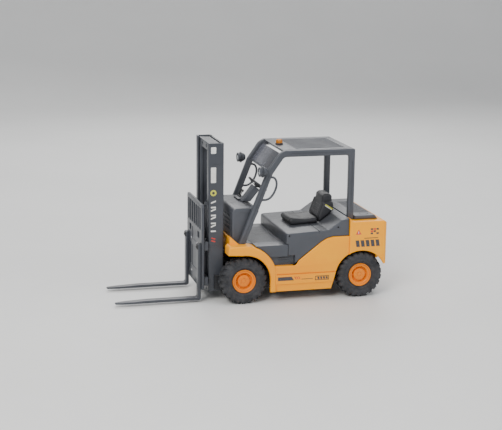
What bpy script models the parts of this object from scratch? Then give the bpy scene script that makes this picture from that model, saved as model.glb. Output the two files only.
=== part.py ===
"""A radio-controlled toy forklift truck, about 1:12, as an assembly of separate pieces.

Design frame: x forward from the front axle, y to the driver's left, z up from the floor, in millimetres.
The whole truck hangs under one empty that shifts it so that the world origin lies on the floor,
under the centre of its bounding box. Meshes are written in metres.
"""

import math

import bmesh
import bpy
from mathutils import Matrix, Vector

MM = 0.001
GAP = 0.3  # clearance between two pieces that touch

# ---------------------------------------------------------------- driving dimensions
WHEELBASE = 142.0
TYRE_RADIUS = 27.5
TYRE_WIDTH = 19.0
RIM_RADIUS = 13.8
WHEEL_Y = 49.0  # centre plane of each wheel
HALF_WIDTH = 61.0  # outer face of fenders and counterweight
FLANK_Y = 59.5  # outer face of sill and flank
AXLE_Z = TYRE_RADIUS
AXLE_RADIUS = 2.0
REAR_X = -WHEELBASE
BODY_REAR = -174.0
BODY_SPLIT = -127.0  # side shells end and the counterweight begins
SHELL_WALL = 3.0
FENDER_TOP = 70.0
FENDER_FRONT = 19.5
SILL_TOP = 44.0
SILL_BOTTOM = 13.0
FLANK_TOP = 76.0
COUNTERWEIGHT_TOP = 93.0
CAB_HALF = 41.2  # half width of the cowl, and of floor and hood between the yellow shells
BODY_HALF = 58.3  # half width of floor and hood above the yellow shells
STEP_HALF = 54.0  # half width inside the step recess
STEP_TOP = 55.5
STEP_REAR = -60.4
FLOOR_TOP = 69.0
COWL_TOP = 111.0
COWL_FRONT = 11.0
HOOD_FRONT = -50.0
GUARD_IN = 42.2  # inner face of the overhead guard's side frames
GUARD_OUT = 48.2
ROOF_TOP = 178.0
PILLAR_WIDTH = 7.5
MAST_BACK = 19.5
MAST_FRONT = 37.5
MAST_HALF = 34.0
MAST_TOP = 187.0
MAST_BOTTOM = 12.0
MAST_PIVOT = (24.0, 24.0)
BACKREST_FRONT = 47.0
BACKREST_HALF = 41.0
BACKREST_TOP = 117.0
FORK_Y = 34.0
FORK_WIDTH = 9.0
FORK_TIP = 148.0
FORK_BOTTOM = 3.0
FORK_TOP = 6.2
KINGPIN_Y = 36.0
STEER_ARM = 12.0
PAN_BOTTOM = 14.0
PAN_FLOOR = 17.0
TILT_TRUNNION = (-8.0, 44.0)
TILT_PIN = (15.5, 50.0)
GEAR_MODULE = 0.8
GEAR_TEETH = 24
PINION_TEETH = 8
CENTRE_SHIFT = -(FORK_TIP + BODY_REAR) / 2

# ---------------------------------------------------------------- scene and materials


def clear_scene():
    for obj in list(bpy.data.objects):
        bpy.data.objects.remove(obj, do_unlink=True)


def plastic(name, colour, roughness, metallic=0.0):
    mat = bpy.data.materials.new(name)
    mat.use_nodes = True
    shader = mat.node_tree.nodes["Principled BSDF"]
    shader.inputs["Base Color"].default_value = (*colour, 1.0)
    shader.inputs["Roughness"].default_value = roughness
    shader.inputs["Metallic"].default_value = metallic
    mat.diffuse_color = (*colour, 1.0)
    return mat


clear_scene()
YELLOW = plastic("body_yellow", (0.90, 0.40, 0.012), 0.35)
ORANGE = plastic("rim_orange", (0.86, 0.25, 0.012), 0.35)
DARK = plastic("dark_grey", (0.040, 0.041, 0.046), 0.5)
MAST_GREY = plastic("mast_grey", (0.034, 0.035, 0.040), 0.45)
BLACK = plastic("chassis_black", (0.014, 0.014, 0.015), 0.55)
SEAT_BLACK = plastic("seat_black", (0.020, 0.020, 0.022), 0.7)
RUBBER = plastic("tyre_rubber", (0.022, 0.022, 0.024), 0.85)
STEEL = plastic("steel", (0.55, 0.55, 0.56), 0.3, 1.0)
WHITE_GEAR = plastic("gear_nylon", (0.75, 0.74, 0.70), 0.4)
CLEAR = plastic("lens_clear", (0.80, 0.85, 0.88), 0.1)
AMBER = plastic("lens_amber", (0.85, 0.30, 0.01), 0.15)
RED = plastic("lens_red", (0.60, 0.02, 0.02), 0.15)
GREEN = plastic("board_green", (0.02, 0.16, 0.06), 0.5)
BLUE = plastic("battery_wrap", (0.03, 0.10, 0.35), 0.4)


class Body:
    """An empty on a joint's axis. Every piece of that rigid body is its child."""

    def __init__(self, name, at=(0, 0, 0), parent=None):
        self.at = Vector(at)
        self.empty = bpy.data.objects.new(name, None)
        bpy.context.scene.collection.objects.link(self.empty)
        if parent:
            self.empty.parent = parent.empty
            self.empty.location = (self.at - parent.at) * MM
        else:
            self.empty.location = Vector((CENTRE_SHIFT, 0, 0)) * MM


def object_of(name, bm, body):
    """An object whose mesh is bm, given in the design frame, carried by body."""
    bmesh.ops.remove_doubles(bm, verts=bm.verts, dist=0.001)
    bmesh.ops.recalc_face_normals(bm, faces=bm.faces)
    bmesh.ops.translate(bm, vec=-body.at, verts=bm.verts)
    bmesh.ops.scale(bm, vec=(MM, MM, MM), verts=bm.verts)
    mesh = bpy.data.meshes.new(name)
    bm.to_mesh(mesh)
    bm.free()
    obj = bpy.data.objects.new(name, mesh)
    bpy.context.scene.collection.objects.link(obj)
    obj.parent = body.empty
    return obj


def part(name, bm, mat, body, add=(), cut=()):
    """A piece: bm, then each shape of add joined to it, then each shape of cut taken away."""
    obj = object_of(name, bm, body)
    obj.data.materials.append(mat)
    for operation, tools in (("UNION", add), ("DIFFERENCE", cut)):
        for index, tool in enumerate(tools):
            helper = object_of(f"{name}_{operation.lower()}_{index}", tool, body)
            helper.hide_render = True
            helper.display_type = "WIRE"
            modifier = obj.modifiers.new(helper.name, "BOOLEAN")
            modifier.operation = operation
            modifier.solver = "EXACT"
            modifier.object = helper
    return obj


# ---------------------------------------------------------------- shapes, all as bmesh in the design frame

PLACE = {
    "x": lambda u, v, w: (w, u, v),
    "y": lambda u, v, w: (u, w, v),
    "z": lambda u, v, w: (u, v, w),
}


def prism(outline, along, low, high, bevel=0.0, segments=1):
    """The outline extruded along an axis. Its points are (y, z) for x, (x, z) for y and (x, y) for z."""
    bm = bmesh.new()
    rings = [[bm.verts.new(PLACE[along](u, v, w)) for u, v in outline] for w in (low, high)]
    bm.faces.new(rings[0])
    bm.faces.new(rings[1][::-1])
    count = len(outline)
    for i in range(count):
        j = (i + 1) % count
        bm.faces.new((rings[0][i], rings[0][j], rings[1][j], rings[1][i]))
    bmesh.ops.recalc_face_normals(bm, faces=bm.faces)
    if bevel:
        caps = [e for ring in rings for e in ring_edges(ring)]
        bmesh.ops.bevel(
            bm, geom=caps, offset=bevel, segments=segments, profile=0.5, affect="EDGES", clamp_overlap=True
        )
    return bm


def ring_edges(ring):
    """The edges that join each vertex of a ring to the next."""
    found = []
    for i, vert in enumerate(ring):
        other = ring[(i + 1) % len(ring)]
        found += [e for e in vert.link_edges if e.other_vert(vert) is other]
    return found


def block(x, y, z, bevel=0.0, segments=1):
    """A box between the pairs x, y and z, with all its edges beveled."""
    bm = prism([(x[0], y[0]), (x[1], y[0]), (x[1], y[1]), (x[0], y[1])], "z", *z)
    if bevel:
        bmesh.ops.bevel(
            bm, geom=list(bm.edges), offset=bevel, segments=segments, profile=0.5, affect="EDGES"
        )
    return bm


def arc(centre, radius, start, end, steps, squash=1.0):
    """Points on an arc, in degrees. squash scales its first axis."""
    points = []
    for i in range(steps + 1):
        angle = math.radians(start + (end - start) * i / steps)
        points.append(
            (centre[0] + radius * squash * math.cos(angle), centre[1] + radius * math.sin(angle))
        )
    return points


def disc(centre, radius, along, low, high, sides=16):
    """A cylinder along an axis."""
    return prism(arc(centre, radius, 0, 360 * (sides - 1) / sides, sides - 1), along, low, high)


def lathe(profile, centre, along, sides):
    """A closed profile of (radius, distance along the axis), turned about the axis through centre."""
    bm = bmesh.new()
    rings = []
    for i in range(sides):
        angle = 2 * math.pi * i / sides
        rings.append(
            [
                bm.verts.new(
                    PLACE[along](centre[0] + r * math.cos(angle), centre[1] + r * math.sin(angle), a)
                )
                for r, a in profile
            ]
        )
    count = len(profile)
    for i in range(sides):
        for k in range(count):
            n = (k + 1) % count
            j = (i + 1) % sides
            bm.faces.new((rings[i][k], rings[i][n], rings[j][n], rings[j][k]))
    return bm


def rod(start, end, radius, sides=12):
    """A cylinder between two points."""
    start, end = Vector(start), Vector(end)
    run = end - start
    bm = bmesh.new()
    bmesh.ops.create_cone(
        bm, cap_ends=True, segments=sides, radius1=radius, radius2=radius, depth=run.length
    )
    turn = Vector((0, 0, 1)).rotation_difference(run).to_matrix()
    bmesh.ops.rotate(bm, cent=(0, 0, 0), matrix=turn, verts=bm.verts)
    bmesh.ops.translate(bm, vec=(start + end) / 2, verts=bm.verts)
    return bm


def tube(points, radius, sides=8):
    """A round bar along a bent line of points."""
    bm = bmesh.new()
    points = [Vector(p) for p in points]
    side = (points[1] - points[0]).orthogonal().normalized()
    rings = []
    for i, point in enumerate(points):
        run = (points[min(i + 1, len(points) - 1)] - points[max(i - 1, 0)]).normalized()
        side = (side - run * side.dot(run)).normalized()
        other = run.cross(side)
        ring = []
        for k in range(sides):
            angle = 2 * math.pi * k / sides
            ring.append(bm.verts.new(point + radius * (side * math.cos(angle) + other * math.sin(angle))))
        rings.append(ring)
    bm.faces.new(rings[0])
    bm.faces.new(rings[-1][::-1])
    for first, second in zip(rings, rings[1:]):
        for k in range(sides):
            n = (k + 1) % sides
            bm.faces.new((first[k], first[n], second[n], second[k]))
    return bm


def offset_line(points, distance):
    """An open line of points moved sideways by distance, to its left."""
    moved = []
    for i, point in enumerate(points):
        here = Vector(point)
        before = here - Vector(points[i - 1]) if i else None
        after = Vector(points[i + 1]) - here if i + 1 < len(points) else None
        runs = [v.normalized() for v in (before, after) if v is not None]
        normals = [Vector((-v.y, v.x)) for v in runs]
        mean = sum(normals, Vector((0, 0))).normalized()
        moved.append(tuple(here + mean * distance / max(mean.dot(normals[0]), 0.5)))
    return moved


def ribbon(line, width):
    """The outline of a flat bar of that width along a line of points."""
    return offset_line(line, width / 2) + offset_line(line, -width / 2)[::-1]


def span(side, low, high):
    """The pair of y values low to high on the left side, or its mirror on the right."""
    return (low, high) if side > 0 else (-high, -low)


SIDES = (("left", 1), ("right", -1))

# ---------------------------------------------------------------- bodies, one for each thing that moves

truck = Body("forklift")
drive_axle = Body("drive_axle_body", (0, 0, AXLE_Z), truck)
PINION_X = -GEAR_MODULE * (GEAR_TEETH + PINION_TEETH) / 2
pinion_body = Body("motor_pinion_body", (PINION_X, 0, AXLE_Z), truck)
HORN_X = REAR_X + 2 * STEER_ARM
TIE_X = REAR_X + STEER_ARM
horn_body = Body("servo_horn_body", (HORN_X, 0, 0), truck)
tie_rod_body = Body("tie_rod_body", (TIE_X, 0, 0), truck)
COLUMN_LEAN = math.radians(38)
WHEEL_CENTRE = Vector((-30.0, 0, 131.0))
steering_body = Body("steering_wheel_body", WHEEL_CENTRE, truck)
SWITCH = (-101.8, 20.0)
switch_body = Body("power_switch_body", (*SWITCH, PAN_BOTTOM), truck)
mast_body = Body("mast_body", (MAST_PIVOT[0], 0, MAST_PIVOT[1]), truck)
inner_body = Body("inner_mast_body", (MAST_PIVOT[0], 0, MAST_PIVOT[1]), mast_body)
carriage_body = Body("carriage_body", (MAST_PIVOT[0], 0, MAST_PIVOT[1]), inner_body)
tilt_body = Body("tilt_cylinder_body", (TILT_TRUNNION[0], 0, TILT_TRUNNION[1]), truck)
tilt_rod_body = Body("tilt_rod_body", (TILT_TRUNNION[0], 0, TILT_TRUNNION[1]), tilt_body)
knuckle_body = {n: Body(f"knuckle_{n}_body", (REAR_X, s * KINGPIN_Y, 0), truck) for n, s in SIDES}
rear_wheel_body = {
    n: Body(f"rear_wheel_{n}_body", (REAR_X, s * WHEEL_Y, AXLE_Z), knuckle_body[n]) for n, s in SIDES
}

# ---------------------------------------------------------------- yellow body

FRONT_ARCH = 31.0
REAR_ARCH = 31.5
REAR_ARCH_Z = 26.0
STEER_CLEARANCE = 36.5  # radius that a steered rear tyre sweeps behind the outer wall
FENDER_FLAT = 59.5  # underside of the fender ahead of the wheel
FENDER_SQUASH = 0.93
FENDER_REAR = -37.5

fender_sweep = arc((0, AXLE_Z), FENDER_TOP - AXLE_Z, 90, 157, 7, FENDER_SQUASH)
fender_nose = [(FENDER_FRONT, FENDER_FLAT), (FENDER_FRONT, 67.0), (16.5, FENDER_TOP)]
flank_line = [(-61.0, SILL_TOP), (-64.5, 49.5), (-92.0, 70.0), (-99.5, 74.3), (-107.0, FLANK_TOP)]
top_line = [*fender_nose, *fender_sweep, *flank_line, (BODY_SPLIT + GAP, FLANK_TOP)]
fender_outline = [
    *fender_nose,
    *fender_sweep,
    (FENDER_REAR, SILL_TOP - 1.5),
    (FENDER_REAR, SILL_BOTTOM),
    (-FRONT_ARCH, SILL_BOTTOM),
    *arc((0, AXLE_Z), FRONT_ARCH, 180, 84, 9),
]


def rear_arch(split, last, steps):
    """The rear wheel arch, from where it meets the plane x = split round to an angle."""
    first = math.degrees(math.acos((split - REAR_X) / REAR_ARCH))
    return arc((REAR_X, REAR_ARCH_Z), REAR_ARCH, first, last, steps)


flank_outline = [
    (FENDER_REAR + 3, SILL_TOP),
    *flank_line,
    (BODY_SPLIT + GAP, FLANK_TOP),
    *rear_arch(BODY_SPLIT + GAP, 12, 6),
    (-106.0, SILL_BOTTOM),
    (FENDER_REAR + 3, SILL_BOTTOM),
]
apron_gusset = [(15.5, FENDER_TOP - 1.5), (4.8, FENDER_TOP - 1.5), (4.8, FENDER_TOP + 0.5), (15.5, 80.0)]


def steer_sweep(side):
    """The space behind the outer wall that a steered rear tyre needs."""
    return disc((REAR_X, AXLE_Z), STEER_CLEARANCE, "y", *span(side, 30.0, FLANK_Y - SHELL_WALL + 0.5), 32)


def side_shell(name, side):
    flange_outline = top_line + offset_line(top_line, SHELL_WALL)[::-1]
    groove = span(side, FLANK_Y - 1.8, HALF_WIDTH + 2)
    return part(
        f"side_shell_{name}",
        prism(fender_outline, "y", *span(side, FLANK_Y - SHELL_WALL, HALF_WIDTH)),
        YELLOW,
        truck,
        add=[
            prism(flank_outline, "y", *span(side, FLANK_Y - SHELL_WALL, FLANK_Y)),
            prism(flange_outline, "y", *span(side, CAB_HALF + GAP, FLANK_Y - 1)),
            block((-104.5, FENDER_REAR + 2), span(side, 50.0, FLANK_Y - 0.5), (SILL_BOTTOM, 28.0)),
            prism(apron_gusset, "y", *span(side, CAB_HALF + 1.2, CAB_HALF + 6)),
        ],
        cut=[
            block((-130.0, FENDER_REAR - 2), groove, (34.0, 36.0)),
            steer_sweep(side),
        ],
    )


GRILLE_HALF = 22.0
GRILLE_Z = (48.0, 66.0)
TAIL_LAMP_Y = (38.0, 50.0)
TAIL_LAMP_Z = (70.0, 78.0)
REAR_CORNER = 10.0


def counterweight():
    outline = [
        (BODY_SPLIT, COUNTERWEIGHT_TOP),
        *rear_arch(BODY_SPLIT, 153, 10),
        (BODY_REAR, 40.3),
        (BODY_REAR, COUNTERWEIGHT_TOP - 4),
        (BODY_REAR + 1.3, COUNTERWEIGHT_TOP - 1.3),
        (BODY_REAR + 4, COUNTERWEIGHT_TOP),
    ]
    spike = [
        (BODY_SPLIT - 0.02, COUNTERWEIGHT_TOP - 2),
        (BODY_SPLIT - 0.02, COUNTERWEIGHT_TOP + 4.5),
        (BODY_SPLIT - 5, COUNTERWEIGHT_TOP - 2),
    ]
    corner = [
        (BODY_REAR - 2, HALF_WIDTH + 2),
        (BODY_REAR - 2, HALF_WIDTH - REAR_CORNER),
        *arc((BODY_REAR + REAR_CORNER, HALF_WIDTH - REAR_CORNER), REAR_CORNER, 180, 90, 4),
        (BODY_REAR + REAR_CORNER, HALF_WIDTH + 2),
    ]
    wall = (BODY_REAR - 1, BODY_REAR + SHELL_WALL + 1)
    inner = (BODY_REAR + SHELL_WALL, BODY_SPLIT - SHELL_WALL)
    half = HALF_WIDTH - SHELL_WALL
    part(
        "counterweight",
        prism(outline, "y", -HALF_WIDTH, HALF_WIDTH),
        YELLOW,
        truck,
        add=[prism(spike, "y", *span(s, GUARD_OUT + 1, HALF_WIDTH - 0.5)) for _, s in SIDES],
        cut=[
            block(inner, (-half, half), (20.0, COUNTERWEIGHT_TOP - SHELL_WALL)),
            block((inner[1] - 1, BODY_SPLIT + 5), (-half, half), (20.0, FLANK_TOP)),
            prism(corner, "z", 20, 110),
            prism([(u, -v) for u, v in corner], "z", 20, 110),
            block(wall, (-GRILLE_HALF, GRILLE_HALF), GRILLE_Z),
            *[block(wall, span(s, *TAIL_LAMP_Y), TAIL_LAMP_Z) for _, s in SIDES],
            *[steer_sweep(s) for _, s in SIDES],
        ],
    )


def rear_grille():
    slots = 5
    pitch = (GRILLE_Z[1] - GRILLE_Z[0]) / slots
    middles = [GRILLE_Z[0] + pitch * (i + 0.5) for i in range(slots)]
    part(
        "rear_grille",
        block(
            (BODY_REAR + 0.8, BODY_REAR + 2.8),
            (-GRILLE_HALF + GAP, GRILLE_HALF - GAP),
            (GRILLE_Z[0] + GAP, GRILLE_Z[1] - GAP),
        ),
        DARK,
        truck,
        cut=[
            block((BODY_REAR - 1, BODY_REAR + 4), (-GRILLE_HALF + 3, GRILLE_HALF - 3), (z - 0.9, z + 0.9))
            for z in middles
        ],
    )


def tail_lamp(name, side):
    part(
        f"tail_lamp_{name}",
        block(
            (BODY_REAR + 0.3, BODY_REAR + 2.8),
            span(side, TAIL_LAMP_Y[0] + GAP, TAIL_LAMP_Y[1] - GAP),
            (TAIL_LAMP_Z[0] + GAP, TAIL_LAMP_Z[1] - GAP),
            0.6,
        ),
        RED,
        truck,
    )


for side_name, side_sign in SIDES:
    side_shell(side_name, side_sign)
    tail_lamp(side_name, side_sign)
counterweight()
rear_grille()
part(
    "front_panel",
    block((COWL_FRONT + GAP, COWL_FRONT + 2.6), (-CAB_HALF, CAB_HALF), (57.0, 76.0), 0.6),
    YELLOW,
    truck,
)

# ---------------------------------------------------------------- charcoal upper body

PLATE = 2.4  # wall of the charcoal mouldings


def front_cowl():
    outline = [
        (COWL_FRONT, 57.0),
        (COWL_FRONT, 102.0),
        *arc((COWL_FRONT - 7, 102.0), 7.0, 30, 90, 2),
        (-8.0, COWL_TOP),
        (-20.0, COWL_TOP - 1.5),
        (-21.0, 107.0),
        (-4.2, FLOOR_TOP + 2),
        (-4.2, 57.0),
    ]
    hollow = [
        (COWL_FRONT - PLATE, 50.0),
        (COWL_FRONT - PLATE, 103.0),
        (2.0, COWL_TOP - PLATE - 1),
        (-15.5, COWL_TOP - PLATE - 2),
        (-2.0, 66.0),
        (-2.0, 50.0),
    ]
    part(
        "front_cowl",
        prism(outline, "y", -CAB_HALF, CAB_HALF, 1.0),
        DARK,
        truck,
        cut=[prism(hollow, "y", -CAB_HALF + PLATE, CAB_HALF - PLATE)],
    )


def cab_floor():
    outline = [
        (HOOD_FRONT - 2, 38.0),
        (HOOD_FRONT - 2, FLOOR_TOP),
        (-4.5, FLOOR_TOP),
        (-4.5, 57.5),
        (-27.0, 57.5),
        (-33.0, 48.0),
        (-36.0, 38.0),
    ]
    over_shell = [p for p in offset_line(fender_sweep, -GAP) if p[1] < FLOOR_TOP - 1]
    top = [*over_shell, (HOOD_FRONT - 2, SILL_TOP + GAP), (HOOD_FRONT - 2, FLOOR_TOP)]
    top += [(over_shell[0][0] + 1.5, FLOOR_TOP)]
    behind = (STEP_REAR, HOOD_FRONT - 1)
    step = [(0, SILL_TOP - 5), (0, STEP_TOP), (STEP_REAR - 5, STEP_TOP), (STEP_REAR - 5, SILL_TOP - 5)]
    under = [(x + 3.0, z - 3.0) for x, z in over_shell]
    under += [(HOOD_FRONT - 5, SILL_TOP - 5), (HOOD_FRONT - 5, FLOOR_TOP - PLATE), (-12.0, FLOOR_TOP - PLATE)]
    inner = (-CAB_HALF + PLATE, CAB_HALF - PLATE)
    part(
        "cab_floor",
        prism(outline, "y", -CAB_HALF, CAB_HALF),
        DARK,
        truck,
        add=[
            prism(top, "y", -BODY_HALF, BODY_HALF),
            *[
                block(behind, span(s, STEP_HALF - PLATE, STEP_HALF), (SILL_TOP + GAP, STEP_TOP))
                for _, s in SIDES
            ],
        ],
        cut=[
            block((HOOD_FRONT - 15, 0), inner, (30, FLOOR_TOP - PLATE)),
            *[prism(under, "y", *span(s, CAB_HALF, STEP_HALF - PLATE)) for _, s in SIDES],
            *[prism(step, "y", *span(s, STEP_HALF, BODY_HALF + 2)) for _, s in SIDES],
        ],
    )


def engine_hood():
    over_shell = offset_line(flank_line, -GAP)
    crown = [
        (HOOD_FRONT - 2.3, FLOOR_TOP + GAP),
        (HOOD_FRONT, FLOOR_TOP + GAP),
        (HOOD_FRONT, 79.0),
        (HOOD_FRONT - 3, 82.0),
        (-101.0, 84.0),
        (-117.0, 95.0),
        (BODY_SPLIT + GAP, 97.0),
    ]
    core = [(HOOD_FRONT - 2.3, 42.0), *crown, (BODY_SPLIT + GAP, 42.0)]
    wide = [(HOOD_FRONT - 2.3, STEP_TOP + GAP), *crown, (BODY_SPLIT + GAP, FLANK_TOP + GAP)]
    wide += [*over_shell[::-1], (STEP_REAR - GAP, STEP_TOP + GAP)]
    hollow = [
        (HOOD_FRONT - 4.8, 30.0),
        (HOOD_FRONT - 4.8, 79.4),
        (-101.8, 81.5),
        (-117.8, 92.5),
        (BODY_SPLIT + PLATE, 94.0),
        (BODY_SPLIT + PLATE, 78.0),
        (BODY_SPLIT - 5, 78.0),
        (BODY_SPLIT - 5, 30.0),
    ]
    wing = [(HOOD_FRONT - 4.8, 60.0), *hollow[1:6], (BODY_SPLIT + PLATE, 74.0), (-99.0, 72.0), (-80.0, 55.0)]
    wing += [(STEP_REAR - 2.8, 44.0), (STEP_REAR - 2.8, 60.0)]
    part(
        "engine_hood",
        prism(wide, "y", -BODY_HALF, BODY_HALF, 1.0),
        DARK,
        truck,
        add=[prism(core, "y", -CAB_HALF, CAB_HALF)],
        cut=[
            prism(hollow, "y", -CAB_HALF + PLATE, CAB_HALF - PLATE),
            *[prism(wing, "y", *span(s, CAB_HALF, BODY_HALF - PLATE)) for _, s in SIDES],
            *[steer_sweep(s) for _, s in SIDES],
        ],
    )


def rear_deck():
    low, high = COUNTERWEIGHT_TOP + GAP, COUNTERWEIGHT_TOP + 5
    rear = BODY_REAR + 9
    outline = [(-136.0, low), (-136.0, high), (rear + 4, high), (rear, low)]
    part(
        "rear_deck",
        prism(outline, "y", -50, 50, 0.8),
        DARK,
        truck,
        add=[block((-137.0, BODY_SPLIT - GAP), (-GUARD_IN + GAP, GUARD_IN - GAP), (low, high - 0.1))],
    )


front_cowl()
cab_floor()
engine_hood()
rear_deck()

# ---------------------------------------------------------------- driver's place


def seat():
    cushion = [(-66.0, 82.6), (-64.0, 88.0), (-68.0, 91.5), (-84.0, 90.0), (-98.5, 91.0), (-99.5, 84.4)]
    back = [
        (-101.5, 85.0),
        (-100.5, 92.0),
        (-106.5, 108.0),
        (-119.5, 108.0),
        (-119.0, 97.2),
        (-117.0, 96.2),
    ]
    head = [
        (-106.0, 107.0),
        (-108.0, 115.5),
        (-110.5, 118.0),
        (-117.0, 118.0),
        (-119.5, 115.0),
        (-119.5, 107.0),
    ]
    part("seat_cushion", prism(cushion, "y", -20, 20, 2.0), SEAT_BLACK, truck)
    part(
        "seat_backrest",
        prism(back, "y", -20, 20, 2.0),
        SEAT_BLACK,
        truck,
        add=[prism(head, "y", -14, 14, 2.0)],
    )


column_axis = Vector((-math.sin(COLUMN_LEAN), 0, math.cos(COLUMN_LEAN)))
column_side = Vector((math.cos(COLUMN_LEAN), 0, math.sin(COLUMN_LEAN)))


def on_column(along, across=0.0):
    """A point near the steering column: along its axis from the wheel's centre, and across it in plan."""
    point = WHEEL_CENTRE + column_axis * along + column_side * across
    return point.x, point.z


def leaning(bm):
    """A shape built upright about the wheel's centre, leaned over with the column."""
    turn = Vector((0, 0, 1)).rotation_difference(column_axis).to_matrix()
    bmesh.ops.rotate(bm, cent=WHEEL_CENTRE, matrix=turn, verts=bm.verts)
    return bm


def steering_column():
    base = COWL_TOP + GAP
    outline = [(-9.0, base), on_column(-4.0, 4.5), on_column(-4.0, -4.5), (-20.0, base)]
    socket = rod(WHEEL_CENTRE - column_axis * 13, WHEEL_CENTRE, 1.7)
    levers = []
    for i in range(3):
        y = -15.0 - 4.0 * i
        levers.append(tube([(-12, y, base + 0.5), (-14, y, base + 6), (-17, y, base + 10)], 0.9, 6))
    part(
        "steering_column",
        prism(outline, "y", -6.5, 6.5, 1.2),
        DARK,
        truck,
        add=[block((-17.0, -7.0), (-26.0, -4.0), (base, base + 2.0)), *levers],
        cut=[socket],
    )


def steering_wheel():
    x, _, z = WHEEL_CENTRE
    ring = 12.2
    section = [(ring + u, z + v) for u, v in arc((0, 0), 1.4, 0, 315, 7)]
    rim = leaning(lathe(section, (x, 0), "z", 28))
    hub = leaning(disc((x, 0), 3.0, "z", z - 3.6, z - 0.6, 14))
    shaft = leaning(disc((x, 0), 1.3, "z", z - 11.5, z - 2.0, 10))
    spokes = []
    for i in range(3):
        angle = math.radians(90 + 120 * i)
        bar = block((x + 1, x + ring), (-1.0, 1.0), (z - 2.0, z - 0.8))
        bmesh.ops.rotate(
            bar, cent=WHEEL_CENTRE, matrix=Matrix.Rotation(angle, 3, "Z"), verts=bar.verts
        )
        spokes.append(leaning(bar))
    part("steering_wheel", rim, SEAT_BLACK, steering_body, add=[*spokes, hub, shaft])


seat()
steering_column()
steering_wheel()

# ---------------------------------------------------------------- overhead guard

PILLAR_FOOT = (0.5, FENDER_TOP + GAP)
PILLAR_BEND = (-32.0, 153.0)
RAIL_Z = ROOF_TOP - PILLAR_WIDTH / 2
REAR_PILLAR_X = BODY_SPLIT - GAP - PILLAR_WIDTH / 2


def guard_side(name, side):
    foot, bend = Vector(PILLAR_FOOT), Vector(PILLAR_BEND)
    low = foot - (bend - foot) * 0.06
    line = [tuple(low), PILLAR_BEND, (-45.0, 171.5), (-49.5, RAIL_Z)]
    line += [(REAR_PILLAR_X, RAIL_Z), (REAR_PILLAR_X, COUNTERWEIGHT_TOP + GAP)]
    handle = [(-28, 147), (-37.5, 146.5), (-40.5, 141), (-39.5, 133)]
    handle += [(-35, 125), (-29, 121), (-20, 121)]
    y = side * (GUARD_IN + GUARD_OUT) / 2
    part(
        f"guard_side_{name}",
        prism(ribbon(line, PILLAR_WIDTH), "y", *span(side, GUARD_IN, GUARD_OUT), 1.0),
        DARK,
        truck,
        add=[tube([(u, y, v) for u, v in handle], 1.3, 8)],
        cut=[block((-20, 30), span(side, GUARD_IN - 5, GUARD_OUT + 5), (50, FENDER_TOP + GAP))],
    )


def roof():
    half = GUARD_IN - GAP
    low = ROOF_TOP - 4
    outline = [(-51.0, low), (-49.0, ROOF_TOP - 0.6), (-52.0, ROOF_TOP), (-134.0, ROOF_TOP), (-134.5, low)]
    part("roof_panel", prism(outline, "y", -half, half), DARK, truck)
    visor = ribbon([(-47.2, 173.0), (-45.4, 170.5), (-32.6, 152.6)], 1.8)
    part("front_visor", prism(visor, "y", -half, half), CLEAR, truck)
    beacon = [(0, 178.3), (4.6, 178.3), (4.6, 180.2), (3.9, 180.4), (3.6, 183.2), (2.4, 184.4), (0, 184.6)]
    part("beacon_lamp", lathe(beacon, (-56.0, 0), "z", 20), AMBER, truck)


HEADLAMP = (51.0, 155.0)  # y and z of the lamp's axis
HEADLAMP_BACK = -27.6


def headlamp(name, side):
    y, z = side * HEADLAMP[0], HEADLAMP[1]
    back = HEADLAMP_BACK
    shell = [(0, 0), (3.5, 0), (5.4, 3.0), (5.6, 10.0), (4.8, 10.0), (4.7, 6.0), (0, 6.0)]
    lens = [(0, 6.3), (4.3, 6.3), (4.4, 9.0), (2.6, 9.9), (0, 10.2)]
    part(
        f"headlamp_{name}",
        lathe([(r, back + a) for r, a in shell], (y, z), "x", 20),
        DARK,
        truck,
    )
    part(f"headlamp_lens_{name}", lathe([(r, back + a) for r, a in lens], (y, z), "x", 20), CLEAR, truck)


roof()
for side_name, side_sign in SIDES:
    guard_side(side_name, side_sign)
    headlamp(side_name, side_sign)

# ---------------------------------------------------------------- chassis

TUB_HALF = 38.0
TUB_WALL = 2.0
TUB_FRONT = 14.5
TUB_REAR = -108.0
TUB_TOP = 34.0
NECK_HALF = 26.0
HATCH_X = (-90.0, -44.0)
HATCH_HALF = 30.0
BEAM_Z = (36.0, 38.5)
KINGPIN_EYE = 3.2
KINGPIN_RADIUS = 1.5
KNUCKLE_EYE_HOLE = KINGPIN_RADIUS + 0.35
BOARD_POSTS = ((-113.0, 18.0), (-113.0, -18.0), (-97.5, -20.0))
BOARD_Z = (44.0, 45.6)


def kingpin_arm(low, high):
    """The cross arm that carries both kingpins, and the holes in its ends."""
    arm = block((REAR_X - KINGPIN_EYE, REAR_X + KINGPIN_EYE), (-KINGPIN_Y, KINGPIN_Y), (low, high))
    eyes = [disc((REAR_X, s * KINGPIN_Y), KINGPIN_EYE, "z", low, high, 18) for _, s in SIDES]
    holes = [disc((REAR_X, s * KINGPIN_Y), KNUCKLE_EYE_HOLE, "z", low - 1, high + 1, 14) for _, s in SIDES]
    return arm, eyes, holes


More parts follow.
